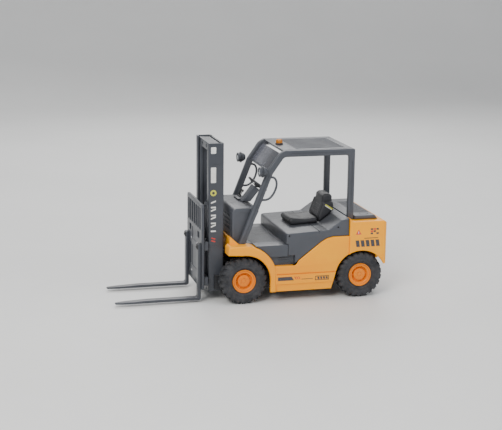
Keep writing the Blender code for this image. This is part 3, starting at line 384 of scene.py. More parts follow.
class Nodes:
    """A material whose node tree is built by short calls."""

    def __init__(self, name, roughness, **sockets):
        self.material = bpy.data.materials.new(name)
        self.material.use_nodes = True
        self.tree = self.material.node_tree
        self.shader = self.tree.nodes["Principled BSDF"]
        self.shader.inputs["Roughness"].default_value = roughness
        for key, value in sockets.items():
            self.shader.inputs[key.replace("_", " ")].default_value = value
        self.place = self.add("ShaderNodeTexCoord").outputs["Object"]

    def add(self, kind, inputs=None, **settings):
        node = self.tree.nodes.new(kind)
        for key, value in settings.items():
            setattr(node, key, value)
        for key, value in (inputs or {}).items():
            self.feed(value, node.inputs[key])
        return node

    def feed(self, value, socket):
        if isinstance(value, bpy.types.NodeSocket):
            self.tree.links.new(value, socket)
        else:
            socket.default_value = value

    def noise(self, scale, detail=3, stretch=None):
        place = self.place
        if stretch:
            place = self.add("ShaderNodeMapping", {"Vector": place, "Scale": stretch}).outputs["Vector"]
        node = self.add("ShaderNodeTexNoise", {"Vector": place, "Scale": scale, "Detail": detail})
        return node.outputs["Fac"]

    def map(self, value, low, high, to_low, to_high):
        inputs = {"Value": value, "From Min": low, "From Max": high, "To Min": to_low, "To Max": to_high}
        return self.add("ShaderNodeMapRange", inputs).outputs["Result"]

    def mix(self, factor, first, second):
        node = self.add("ShaderNodeMix", data_type="RGBA")
        for index, value in ((0, factor), (6, first), (7, second)):
            self.feed(value, node.inputs[index])
        return node.outputs[2]

    def math(self, operation, first, second=0):
        return self.add("ShaderNodeMath", {0: first, 1: second}, operation=operation).outputs[0]

    def colour(self, value):
        self.feed(value, self.shader.inputs["Base Color"])

    def gloss(self, value, low, high):
        self.feed(self.map(value, 0.3, 0.7, low, high), self.shader.inputs["Roughness"])

    def bump(self, height, depth, strength, below=None):
        inputs = {"Height": height, "Distance": depth * MM, "Strength": strength}
        node = self.add("ShaderNodeBump", inputs)
        if below:
            self.feed(below, node.inputs["Normal"])
        self.feed(node.outputs["Normal"], self.shader.inputs["Normal"])
        return node.outputs["Normal"]

    def upward(self):
        """1 where a surface faces up, where dust settles, and 0 elsewhere."""
        normal = self.add("ShaderNodeNewGeometry").outputs["Normal"]
        up = self.add("ShaderNodeSeparateXYZ", {0: normal}).outputs["Z"]
        return self.map(up, 0.55, 1, 0, 1)


def rgb(red, green, blue):
    """A colour written in sRGB from 0 to 255, as the linear RGBA of a shader."""
    linear = [
        c / 12.92 if c <= 0.04045 else ((c + 0.055) / 1.055) ** 2.4
        for c in (red / 255, green / 255, blue / 255)]
    return (*linear, 1)


DUST = rgb(176, 172, 164)


def plastic(name, light, dark, roughness, grain=0.5, depth=0.05, dust=0.1, **sockets):
    """Moulded plastic: flow marks and mottling, a spark-eroded grain, uneven gloss, dust on top."""
    n = Nodes(name, roughness, **sockets)
    flow = n.noise(26, 4, (0.35, 1, 1))
    blotch = n.noise(140, 5)
    tone = n.mix(n.map(flow, 0.32, 0.68, 0, 1), light, dark)
    tone = n.mix(n.map(blotch, 0.4, 0.75, 0, 0.35), tone, dark)
    settled = n.math("MULTIPLY", n.upward(), n.map(n.noise(60, 6), 0.35, 0.7, 0, dust))
    n.colour(n.mix(settled, tone, DUST))
    n.gloss(
        n.math("ADD", n.math("MULTIPLY", blotch, 0.6), n.math("MULTIPLY", settled, 1.5)), roughness * 0.82,
        roughness * 1.2)
    wave = n.bump(n.noise(45, 2), 0.25, 0.12)
    n.bump(n.noise(1000 / grain, 2), depth, 0.55, wave)
    return n.material


def rubber(name):
    """Matt tyre rubber with a fine pitted skin, and streaks of dust."""
    n = Nodes(name, 0.8, Specular_IOR_Level=0.35)
    blotch = n.noise(90, 6)
    tone = n.mix(n.map(blotch, 0.35, 0.7, 0, 1), rgb(56, 57, 61), rgb(42, 43, 46))
    radial = n.noise(220, 4, (1, 0.15, 1))
    n.colour(n.mix(n.map(radial, 0.45, 0.8, 0, 0.22), tone, rgb(104, 101, 96)))
    n.gloss(blotch, 0.68, 0.88)
    pits = n.bump(n.noise(1700, 2), 0.07, 0.6)
    n.bump(n.noise(210, 3), 0.2, 0.2, pits)
    return n.material


def metal(name, light, dark, roughness, along):
    """Drawn or ground metal: fine lines along one axis, in the colour, the gloss and the relief."""
    n = Nodes(name, roughness, Metallic=1)
    lines = n.noise(900, 3, along)
    n.colour(n.mix(n.map(lines, 0.35, 0.65, 0, 1), light, dark))
    n.gloss(
        n.math("ADD", n.math("MULTIPLY", lines, 0.7), n.math("MULTIPLY", n.noise(70, 4), 0.3)),
        roughness * 0.75, roughness * 1.35)
    n.bump(lines, 0.03, 0.35)
    return n.material


def lens(name, colour, scale, roughness=0.06, transmission=0.8):
    """A clear or tinted lamp lens with small moulded facets."""
    n = Nodes(name, roughness, IOR=1.49, Transmission_Weight=transmission)
    facets = n.add("ShaderNodeTexVoronoi", {"Vector": n.place, "Scale": scale, "Randomness": 0})
    deep = tuple(c * 0.72 for c in colour[:3]) + (1,)
    n.colour(n.mix(n.map(facets.outputs["Distance"], 0.1, 0.55, 0, 1), colour, deep))
    n.gloss(n.noise(80, 4), roughness, roughness * 3)
    n.bump(facets.outputs["Distance"], 0.3, 0.5)
    return n.material


def printed(name, colour, roughness=0.4):
    """Ink on a sticker's film: slightly uneven cover, worn thin in specks, under a soft gloss."""
    n = Nodes(name, roughness, Coat_Weight=0.25, Coat_Roughness=0.2)
    worn = n.map(n.noise(700, 6), 0.62, 0.72, 0, 0.35)
    dull = tuple(c * 0.8 for c in colour[:3]) + (1,)
    n.colour(n.mix(worn, n.mix(n.map(n.noise(160), 0.35, 0.7, 0, 1), colour, dull), DUST))
    n.gloss(n.noise(120, 4), roughness * 0.8, roughness * 1.25)
    n.bump(n.noise(1500), 0.02, 0.4)
    return n.material


def board(name):
    """A circuit board's green lacquer, with tracks showing through it."""
    n = Nodes(name, 0.35)
    bricks = n.add("ShaderNodeTexBrick", {"Vector": n.place, "Scale": 260, "Mortar Size": 0.035})
    for key, tone in (
        ("Color1", rgb(22, 92, 52)), ("Color2", rgb(18, 80, 46)), ("Mortar", rgb(60, 140, 88))):
        bricks.inputs[key].default_value = tone
    n.colour(n.mix(n.map(n.noise(90), 0.4, 0.7, 0, 0.3), bricks.outputs["Color"], rgb(12, 60, 34)))
    n.gloss(n.noise(100), 0.28, 0.45)
    n.bump(bricks.outputs["Fac"], 0.05, 0.5)
    return n.material


YELLOW = plastic(
    "body_yellow", rgb(255, 174, 0), rgb(250, 158, 0), 0.42, 0.55, 0.035, 0.015, Specular_IOR_Level=0.3,
    Coat_Weight=0.06, Coat_Roughness=0.25)
ORANGE = plastic(
    "rim_orange", rgb(240, 142, 12), rgb(228, 126, 8), 0.42, 0.5, 0.035, 0.015, Specular_IOR_Level=0.35,
    Coat_Weight=0.08, Coat_Roughness=0.25)
GREY = plastic("upper_grey", rgb(74, 77, 84), rgb(64, 67, 73), 0.46, 0.55, 0.07)
MAST_GREY = plastic("mast_grey", rgb(66, 69, 76), rgb(57, 60, 66), 0.42, 0.5, 0.05)
BLACK = plastic("chassis_black", rgb(40, 41, 44), rgb(32, 33, 36), 0.55, 0.6, 0.08)
SEAT = plastic("seat_black", rgb(46, 47, 51), rgb(37, 38, 41), 0.6, 0.9, 0.16)
RUBBER = rubber("tyre_rubber")
STEEL = metal("steel", rgb(196, 197, 200), rgb(158, 160, 165), 0.28, (1, 0.06, 1))
ROD_STEEL = metal("polished_rod", rgb(212, 213, 216), rgb(178, 180, 185), 0.2, (1, 1, 0.05))
NYLON = plastic(
    "gear_nylon", rgb(232, 229, 218), rgb(220, 216, 203), 0.42, 0.6, 0.04, Subsurface_Weight=0.1,
    Subsurface_Scale=0.002)
CLEAR = lens("lens_clear", rgb(236, 242, 246), 420)
SMOKED = lens("smoked_panel", rgb(120, 122, 134), 26, 0.1, 0.75)
AMBER = lens("lens_amber", rgb(255, 158, 14), 500, 0.1, 0.45)
RED = lens("lens_red", rgb(206, 22, 18), 420, 0.12, 0.4)
GREEN = board("board_green")
BLUE = plastic("battery_wrap", rgb(40, 92, 186), rgb(32, 78, 166), 0.3, 0.5, 0.03)
BRIGHT = metal("lamp_reflector", rgb(228, 229, 232), rgb(196, 198, 203), 0.14, (1, 1, 1))
WHITE_INK = printed("ink_white", rgb(232, 232, 228))
DARK_INK = printed("ink_dark", rgb(58, 56, 60))
RED_INK = printed("ink_red", rgb(214, 52, 40))
LIME_INK = printed("ink_lime", rgb(206, 206, 66))
# Near-black plates and plugs that fill holes and back the grille: painted shade, set where only shade would
# be.
SHADE_PAINT = plastic("shadowed_recess", rgb(20, 20, 22), rgb(15, 15, 17), 0.8, 0.8, 0.06, 0)

# Nodes that keep their CAD shape take the finished material of their slot.
FINISHED = (
    YELLOW, ORANGE, GREY, MAST_GREY, BLACK, SEAT, RUBBER, STEEL, NYLON, CLEAR, AMBER, RED, GREEN, BLUE)
by_slot = {material.name: material for material in FINISHED}
for node in frame["nodes"].values():
    node.data.materials[0] = by_slot[node.data.materials[0].name.removeprefix(PACKED)]

# ---------------------------------------------------------------- yellow body


def ribbon(line, width):
    """The outline of a flat bar of that width along a line of points."""
    return offset_line(line, width / 2) + offset_line(line, -width / 2)[::-1]


def eased(line, radius, steps=5):
    """An open line of points with its inner corners rounded."""
    closed = fillet(
        [*line, (line[-1][0] + 500, -500), (line[0][0] - 500, -500)], [0] + [radius] * (len(line) - 2)
        + [0] * 3, steps)
    return closed[:-2]


FRONT_ARCH, REAR_ARCH, REAR_ARCH_Z, STEER_CLEARANCE = 31, 31.5, 26, 36.5
FENDER_REAR = -37.5
fender_sweep = arc((0, AXLE_Z), FENDER_TOP - AXLE_Z, 90, 157, 24, 0.93)
fender_nose = [(FENDER_FRONT, 59.5), *arc((FENDER_FRONT - 3.4, FENDER_TOP - 3.4), 3.4, 0, 90, 5)]
flank_line = eased(
    [
        (-57, SILL_TOP), (-61.5, SILL_TOP), (-65, 49.5), (-92, 70), (-99.5, 74.4), (-107, FLANK_TOP),
        (BODY_SPLIT - GAP, FLANK_TOP)],
    6)
top_line = [*fender_nose, *fender_sweep, *flank_line]
fender_outline = [
    *fender_nose, *fender_sweep, (FENDER_REAR, SILL_TOP - 1.5), (FENDER_REAR, SILL_BOTTOM),
    (-FRONT_ARCH, SILL_BOTTOM), *arc((0, AXLE_Z), FRONT_ARCH, 180, 84, 32)]


def rear_arch(split, last, steps):
    first = math.degrees(math.acos((split - REAR_X) / REAR_ARCH))
    return arc((REAR_X, REAR_ARCH_Z), REAR_ARCH, first, last, steps)


flank_outline = [
    (FENDER_REAR + 3, SILL_TOP), *flank_line, *rear_arch(BODY_SPLIT, 12, 16), (-106, SILL_BOTTOM),
    (FENDER_REAR + 3, SILL_BOTTOM)]


def steer_sweep(side):
    """The space behind the outer wall that a steered rear tyre needs."""
    return disc((REAR_X, AXLE_Z), STEER_CLEARANCE, "y", *span(side, 30, FLANK_Y - SHELL_WALL + 0.5), 0, 72)


def side_shell(name, side):
    flange = top_line + offset_line(top_line, SHELL_WALL)[::-1]
    lower_slant = [
        (side * v, w) for v, w in ((FLANK_Y - 1.3, 22), (64, 22.6), (64, 10), (FLANK_Y - 2.9, 10))]
    shell = joined(
        slab(fender_outline, span(side, FLANK_Y - SHELL_WALL, HALF_WIDTH), ends(side, 0, 2.2), 4),
        add=[
            slab(flank_outline, span(side, FLANK_Y - SHELL_WALL, FLANK_Y), ends(side, 0, 1.3), 3),
            slab(flange, span(side, CAB_HALF + GAP, FLANK_Y - 1.2)),
            block((-104.5, FENDER_REAR + 2), span(side, 50, FLANK_Y - 0.5), (SILL_BOTTOM, 28)),
            slab(
                [(15.5, 68.5), (4.8, 68.5), (4.8, 70.5), (7.5, 72.6), (15.5, 80)],
                span(side, CAB_HALF + 1.2, CAB_HALF + 6), 0.8)],
        cut=[
            block((-130, FENDER_REAR - 1), span(side, FLANK_Y - 1.5, HALF_WIDTH + 2), (33.2, 34.8)),
            prism(lower_slant, "x", -108, FENDER_REAR - 0.5), steer_sweep(side)])
    piece(f"side_shell_{name}.body", shell, YELLOW, edge=0.35)
    lip = ribbon(arc((0, AXLE_Z), FRONT_ARCH + 0.7, 178, 86, 32), 1)
    piece(
        f"fender_lip_{name}", slab(lip, span(side, FLANK_Y - SHELL_WALL - 1.2, FLANK_Y - SHELL_WALL + 0.5)),
        YELLOW)
    screw_at = ((-44, SILL_BOTTOM + 2), (-98, SILL_BOTTOM + 2))
    for index, (x, z) in enumerate(screw_at):
        y = sum(span(side, 53, 54)) / 2
        piece(f"sill_screw_{name}_{index}", screw((x, y), SILL_BOTTOM - 0.1, SILL_BOTTOM + 1.2, 2), STEEL)


def screw(centre, low, high, radius):
    """A cross-head screw whose head faces down, low, along z."""
    x, y = centre
    head = lathe(
        [(0, low), (radius * 0.8, low), (radius, low + 0.3), (radius, high), (0, high)], centre, "z", 32)
    arm, deep = radius * 0.62, (low - 1, low + 0.5)
    cross = [block(around(x, arm), around(y, 0.25), deep), block(around(x, 0.25), around(y, arm), deep)]
    return joined(head, cut=cross)


WEIGHT_HALF = HALF_WIDTH - 0.12  # leaves room for the film of the stickers
GRILLE_Y, GRILLE_Z = reach("rear_grille", "y")[1] + GAP, reach("rear_grille", "z")
REAR_CORNER = 6


def counterweight():
    outline = [
        (BODY_SPLIT, WEIGHT_TOP), *rear_arch(BODY_SPLIT, 153, 32), (BODY_REAR, 40.3),
        *arc((BODY_REAR + REAR_CORNER, WEIGHT_TOP - REAR_CORNER), REAR_CORNER, 180, 90, 10)]
    spike = [
        (BODY_SPLIT - 0.02, WEIGHT_TOP - 2), (BODY_SPLIT - 0.02, WEIGHT_TOP + 4.5),
        (BODY_SPLIT - 5.5, WEIGHT_TOP - 2)]
    corner = [
        (BODY_REAR - 2, WEIGHT_HALF + 2), (BODY_REAR - 2, WEIGHT_HALF - REAR_CORNER),
        *arc((BODY_REAR + REAR_CORNER, WEIGHT_HALF - REAR_CORNER), REAR_CORNER, 180, 90, 12),
        (BODY_REAR + REAR_CORNER, WEIGHT_HALF + 2)]
    wall = (BODY_REAR - 1, BODY_REAR + SHELL_WALL + 1)
    inner = (BODY_REAR + SHELL_WALL, BODY_SPLIT - SHELL_WALL)
    half = WEIGHT_HALF - SHELL_WALL
    shell = joined(
        slab(outline, WEIGHT_HALF, 1.6, 4),
        add=[slab(spike, span(s, GUARD_Y[1] + 1, HALF_WIDTH - 0.5), 0.4, corner=[0, 0.6, 0]) for s in BOTH],
        cut=[
            block(inner, half, (20, WEIGHT_TOP - SHELL_WALL)),
            block((inner[1] - 1, BODY_SPLIT + 5), half, (20, FLANK_TOP)), prism(corner, "z", 20, 110),
            prism([(u, -v) for u, v in corner], "z", 20, 110),
            block(wall, GRILLE_Y, (GRILLE_Z[0] - GAP, GRILLE_Z[1] + GAP), 0, 1.5, "x"),
            *twins(wall, (38, 50), (70, 78), 0, 1.2, "x"), *twins(wall, (27, 34), (70.5, 77.5), 0, 3.4, "x"),
            block((BODY_REAR - 2, BODY_REAR + 0.8), 70, (43.4, 44.4)), *[steer_sweep(s) for s in BOTH]])
    piece("counterweight.body", shell, YELLOW, edge=0.35)
    for name, s in SIDES:
        back = BODY_REAR + 2.6
        reflector = merged(
            disc((s * 30.5, 74), 3.1, "x", back - 1, back, 0.4),
            lathe([(3.3, back - 1.3), (3.6, back - 1.3), (3.7, back), (3.2, back)], (s * 30.5, 74), "x", 40))
        piece(f"reversing_lamp_{name}", reflector, CLEAR)
        # A near-black plate behind the lamp fills its hole: painted shade.
        piece(f"reversing_seat_{name}", block((back, back + 0.6), span(s, 26.5, 34.5), (70, 78)), SHADE_PAINT)


def rear_grille():
    low, high = GRILLE_Z
    half = GRILLE_Y - GAP
    front, back = BODY_REAR + 0.8, BODY_REAR + 2.8
    frame_bar = joined(
        block((front, back), half, (low, high), 0.4, 1.3, "x"),
        cut=[block((front - 1, back + 1), half - 2.4, (low + 2.2, high - 2.2), 0, 1, "x")])
    slats = []
    for i in range(6):
        z = low + 3.4 + i * (high - low - 6.8) / 5
        slat = block((front + 0.2, back), half - 1.5, around(z, 0.5), 0.2)
        slats.append(turned(slat, (front + 1, 0, z), "Y", -22))
    bars = [
        block((front + 0.5, back - 0.1), around(y, 0.6), (low + 1, high - 1), 0.2) for y in (-10.6, 0, 10.6)]
    piece("rear_grille.slats", merged(frame_bar, *slats, *bars), GREY)
    # A near-black plate behind the slats: painted shade.
    piece("grille_backing", block((back + 0.2, back + 0.5), half, (low, high)), SHADE_PAINT)


def tail_lamp(name):
    low, high = reach(f"tail_lamp_{name}", "z")
    y = reach(f"tail_lamp_{name}", "y")
    x = reach(f"tail_lamp_{name}", "x")
    body = block(x, y, (low, high), 0.6, 1, "x")
    ribs = [
        block((x[0] - 1, x[0] + 0.35), around(v, 0.15), (low - 1, high + 1))
        for v in (y[0] + 3.8, y[0] + 7.6)]
    piece(f"tail_lamp_{name}.lens", joined(body, cut=ribs), RED)


for side in SIDES:
    side_shell(*side)
tail_lamp("left")
tail_lamp("right")
counterweight()
rear_grille()
piece(
    "front_panel.plate",
    joined(
        block(reach("front_panel", "x"), CAB_HALF, reach("front_panel", "z"), 0.6, 1.4, "x"),
        cut=twins((COWL_FRONT + 2.2, COWL_FRONT + 5), (24, 34), (63, 70), 0.2, 1.2, "x")),
    YELLOW, edge=0.2)

# ---------------------------------------------------------------- charcoal upper body


def front_cowl():
    top = COWL_TOP
    outline = [
        (COWL_FRONT, 57), (COWL_FRONT, top), (-8, top), (-20, top - 1.5), (-21, top - 4),
        (-4.2, FLOOR_TOP + 2), (-4.2, 57)]
    hollow = [
        (COWL_FRONT - PLATE, 50), (COWL_FRONT - PLATE, 103), (2, top - PLATE - 1), (-15.5, top - PLATE - 2),
        (-2, 66), (-2, 50)]
    inset_side = fillet([(8.2, 66), (8.2, 101), (1, 106.5), (-12.5, 105), (-1.2, 68)], 2.5, 4)
    dials = [(-13.2, y) for y in (-30, -20)]
    cowl = joined(
        slab(outline, CAB_HALF, 1, corner=[0, 6.5, 3, 1, 1.5, 2, 0]),
        add=[block((-17.5, 4), (-37, -12), (top - 1.5, top - 0.01), 0, 2)],
        cut=[
            slab(hollow, CAB_HALF - PLATE),
            *[slab(inset_side, span(s, CAB_HALF - 0.7, CAB_HALF + 2)) for s in BOTH],
            *[
                block((COWL_FRONT - 0.8, COWL_FRONT + 2), 30, (z, z + 2.2), 0, 1, "x")
                for z in (84, 89, 94, 99)],
            *[disc(p, 3.9, "z", top - 3.2, top + 4, 0, 40) for p in dials]])
    piece("front_cowl.shell", cowl, GREY, edge=0.3)
    for index, (x, y) in enumerate(dials):
        low = top - 3
        ring = lathe([(3.2, low), (3.75, low), (3.75, top - 0.5), (3.3, top - 0.7)], (x, y), "z", 48)
        piece(f"gauge_bezel_{index}", ring, STEEL)
        piece(f"gauge_face_{index}", disc((x, y), 3.25, "z", low, low + 0.6), DARK_INK)
        ticks = []
        for k in range(9):
            tick = block((x + 2.2, x + 2.9), around(y, 0.12), (low + 0.55, low + 0.68))
            ticks.append(turned(tick, (x, y, 0), "Z", 135 + 33.75 * k))
        needle = turned(
            block((x - 0.5, x + 2.3), around(y, 0.16), (low + 0.6, low + 0.78)), (x, y, 0), "Z", 200)
        piece(f"gauge_ticks_{index}", merged(*ticks, needle), WHITE_INK)
    buttons = [
        block(
            (-15.4 + 4.4 * k, -12.2 + 4.4 * k), (10 + 6 * j, 14.4 + 6 * j), (top - 1.22, top - 0.02), 0.4,
            0.8)
        for k in range(3) for j in range(3)]
    piece("dash_buttons", merged(*buttons), SEAT)


over_shell = offset_line([*fender_sweep, *flank_line], -GAP)


def cab_floor():
    core = [
        (HOOD_FRONT - 2, 38), (HOOD_FRONT - 2, FLOOR_TOP), (-4.5, FLOOR_TOP), (-4.5, 57.5), (-27, 57.5),
        (-33, 48), (-36, 38)]
    edge = [p for p in over_shell if p[1] < FLOOR_TOP - 1.2 and p[0] > -35.5]
    top = [
        *edge, (-37.2, SILL_TOP + GAP), (HOOD_FRONT - 2, SILL_TOP + GAP), (HOOD_FRONT - 2, FLOOR_TOP),
        (edge[0][0] + 1.8, FLOOR_TOP)]
    step = [(-20, SILL_TOP - 5), (-20, STEP_TOP), (STEP_REAR - 5, STEP_TOP), (STEP_REAR - 5, SILL_TOP - 5)]
    under = [(x + 3, z - 3) for x, z in edge]
    under += [(HOOD_FRONT - 5, SILL_TOP - 5), (HOOD_FRONT - 5, FLOOR_TOP - PLATE), (-12, FLOOR_TOP - PLATE)]
    inner = (-CAB_HALF + PLATE, CAB_HALF - PLATE)
    ribs = [
        block((HOOD_FRONT + 3, -9.5 - abs(y) * 0.08), around(y, 0.55), (FLOOR_TOP - 0.55, FLOOR_TOP + 1))
        for y in range(-38, 39, 4)]
    wall = (SILL_TOP + GAP, STEP_TOP)
    floor = joined(
        slab(core, CAB_HALF),
        add=[
            slab(top, BODY_HALF, 0.7, 3),
            *twins((STEP_REAR, HOOD_FRONT - 1), (STEP_HALF - PLATE, STEP_HALF), wall)],
        cut=[
            block((HOOD_FRONT - 15, 0), inner, (30, FLOOR_TOP - PLATE)), *ribs,
            *[slab(under, span(s, CAB_HALF, STEP_HALF - PLATE)) for s in BOTH],
            *[slab(step, span(s, STEP_HALF, BODY_HALF + 2)) for s in BOTH]])
    piece("cab_floor.plate", floor, GREY, edge=0.25)
    for name, s in SIDES:
        # The tread bars take the darker mast grey: painted shade, which keeps the step recess dark.
        bars = [
            block((-57, -41.5), span(s, STEP_HALF - 0.4, STEP_HALF + 0.8), around(z, 0.45), 0.15)
            for z in (47.2, 50, 52.8)]
        piece(f"step_tread_{name}", merged(*bars), MAST_GREY)
    pedals = []
    for y, wide in ((-22, 9), (-8, 5), (4, 5)):
        low = FLOOR_TOP + 3.5
        pad = joined(
            block((-9.4, -8), around(y, wide / 2), (low, low + 8), 0.4, 1.2, "x"),
            cut=[block((-10, -9.1), around(y, wide), around(v, 0.3)) for v in (low + 2, low + 4, low + 6)])
        stem = block((-8.4, -5), around(y, 0.8), (FLOOR_TOP + 0.05, low + 4), 0.3)
        pedals += [turned(pad, (-8, y, low), "Y", -18), stem]
    piece("pedals", merged(*pedals), SEAT)


def engine_hood():
    crown = [
        (HOOD_FRONT - 2.3, FLOOR_TOP + GAP), (HOOD_FRONT, FLOOR_TOP + GAP), (HOOD_FRONT, 82), (-101, 84),
        (-117, 95), (HOOD_BACK, HOOD_TOP)]
    core = [(HOOD_FRONT - 2.3, 42), *crown[:1], (HOOD_FRONT - 2.3, 76), (HOOD_BACK, 80), (HOOD_BACK, 42)]
    edge = [p for p in over_shell if HOOD_BACK + 1 < p[0] < -62.3]
    wide = [(HOOD_FRONT - 2.3, STEP_TOP + GAP), *crown, (HOOD_BACK, FLANK_TOP + GAP)]
    wide += [*edge[::-1], (STEP_REAR - GAP, 44.8), (STEP_REAR - GAP, STEP_TOP + GAP)]
    hollow = [
        (HOOD_FRONT - 4.8, 30), (HOOD_FRONT - 4.8, 77.4), (-101.8, 80.5), (-117.8, 91.5),
        (BODY_SPLIT + PLATE, 93), (BODY_SPLIT + PLATE, 78), (BODY_SPLIT - 5, 78), (BODY_SPLIT - 5, 30)]
    wing = [
        (HOOD_FRONT - 4.8, 60), *hollow[1:6], (BODY_SPLIT + PLATE, 74), (-99, 72), (-80, 55),
        (STEP_REAR - 2.8, 44), (STEP_REAR - 2.8, 60)]
    holes = ((-53.4, 79.2), (-113, 87))
    hood = joined(
        slab(wide, BODY_HALF, 1.3, 4, [0, 0, 0, 3.5, 5, 4, 0.6] + [0] * (len(wide) - 7)),
        add=[slab(core, CAB_HALF)],
        cut=[
            slab(hollow, CAB_HALF - PLATE),
            *[slab(wing, span(s, CAB_HALF, BODY_HALF - PLATE)) for s in BOTH],
            *[
                disc(at, 1.15, "y", *span(s, BODY_HALF - 1.2, BODY_HALF + 1), 0, 24) for at in holes
                for s in BOTH],
            block((-90, -89.2), 60, (81.9, 90)), *[steer_sweep(s) for s in BOTH]])
    piece("engine_hood.cover", hood, GREY, edge=0.3)
    for name, s in SIDES:
        # Near-black plugs in the screw holes: painted shade.
        hole_shades = [disc(at, 1, "y", *span(s, BODY_HALF - 1.4, BODY_HALF - 0.6), 0, 24) for at in holes]
        piece(f"hood_plug_{name}", merged(*hole_shades), SHADE_PAINT)


def rear_deck():
    low, high = WEIGHT_TOP + GAP, DECK_TOP
    rear = BODY_REAR + 9
    outline = [(-136, low), (-136, high), (rear + 4, high), (rear, low)]
    slots = [block((-160, -141), around(y, 1.1), (high - 0.9, high + 1), 0, 1) for y in range(-30, 31, 5)]
    deck = joined(
        slab(outline, 50, 1.4, corner=[0, 1, 2.5, 0]),
        add=[block((-137, BODY_SPLIT - GAP), (-GUARD_Y[0] + GAP, GUARD_Y[0] - GAP), (low, high - 0.1), 0.3)],
        cut=[
            *slots,
            lathe(
                [(4.6, high - 0.5), (5.4, high - 0.5), (5.4, high + 1), (4.6, high + 1)], (-150, 40.5), "z")])
    piece("rear_deck.cover", deck, GREY, edge=0.3)
    cap = lathe(
        [(0, high - 0.6), (4.4, high - 0.6), (4.4, high - 0.1), (0, high - 0.06)], (-150, 40.5), "z", 48)
    piece("filler_cap", cap, BLACK)


front_cowl()
cab_floor()
engine_hood()
rear_deck()

# ---------------------------------------------------------------- driver's place


SEAT_HALF, PIPING_Y, FLUTE_HALF = 20, 14.5, 13.5


def seat():
    cushion = [(-66.5, 82.6), (-63.9, 88.2), (-67, 91.6), (-84, 89.8), (-99.4, 91.2), (-99.5, 84.4)]
    high = reach("seat_cushion", "z")[1]
    flutes = [
        tube([(x, y, high - 1.35 + abs(x + 84) * 0.03) for y in (-FLUTE_HALF, FLUTE_HALF)], 0.45, 10)
        for x in (-73, -78, -83, -88, -93)]
    base = joined(
        slab(cushion, SEAT_HALF, 3, 5, [1.5, 2.5, 3, 9, 2, 2]),
        cut=[
            *flutes,
            *[tube([(-69, y, 91.6), (-84, y, 89.9), (-97, y, 91)], 0.5, 10) for y in (-PIPING_Y, PIPING_Y)]])
    piece("seat_cushion.pad", base, SEAT, sharp=50)
    back = [(-101.5, 85), (-100.4, 92), (-106.5, 109.5), (-119.5, 109.5), (-119.5, 98.2), (-117, 96.6)]
    head = [(-106, 105), (-107.4, 115.6), (-110.5, 118), (-117, 118), (-119.5, 115), (-119.5, 105)]

    def front_x(z):
        return -100.4 - (z - 92) * 6.1 / 17.5

    flutes = [
        tube([(front_x(z) + 0.1, y, z) for y in (-FLUTE_HALF, FLUTE_HALF)], 0.45, 10, (0, 0, 1))
        for z in (93, 97, 101, 105)]
    piping = [
        tube([(front_x(89) - 0.3, y, 89), (front_x(92), y, 92), (front_x(108), y, 108)], 0.5, 10)
        for y in (-PIPING_Y, PIPING_Y)]
    rest = joined(
        slab(back, SEAT_HALF, 3, 5, [2, 6, 3, 3, 2, 1]),
        add=[slab(head, 14, 2.6, 5, [0, 3, 3, 3, 3, 0])],
        cut=[*flutes, *piping])
    piece("seat_backrest.pad", rest, SEAT, sharp=50)
    for name, s in SIDES:
        mark = ribbon([(-109, 106.5), (-118, 100.5)], 1.5)
        edge_mark = ribbon([(-108.4, 105.4), (-117.4, 99.4)], 0.7)
        y = span(s, SEAT_HALF - 1, SEAT_HALF + 0.06)
        piece(f"belt_guide_{name}", prism(mark, "y", *y), LIME_INK)
        piece(f"belt_edge_{name}", prism(edge_mark, "y", *y), WHITE_INK)


COLUMN_LEAN = math.radians(38)
WHEEL_CENTRE = Vector((-30, 0, 131))
column_axis = Vector((-math.sin(COLUMN_LEAN), 0, math.cos(COLUMN_LEAN)))
column_side = Vector((math.cos(COLUMN_LEAN), 0, math.sin(COLUMN_LEAN)))


def on_column(along, across=0):
    point = WHEEL_CENTRE + column_axis * along + column_side * across
    return point.x, point.z


def leaning(bm):
    """A shape built upright about the steering wheel's centre, leaned over with the column."""
    turn = Vector((0, 0, 1)).rotation_difference(column_axis).to_matrix()
    bmesh.ops.rotate(bm, cent=WHEEL_CENTRE, matrix=turn, verts=bm.verts)
    return bm


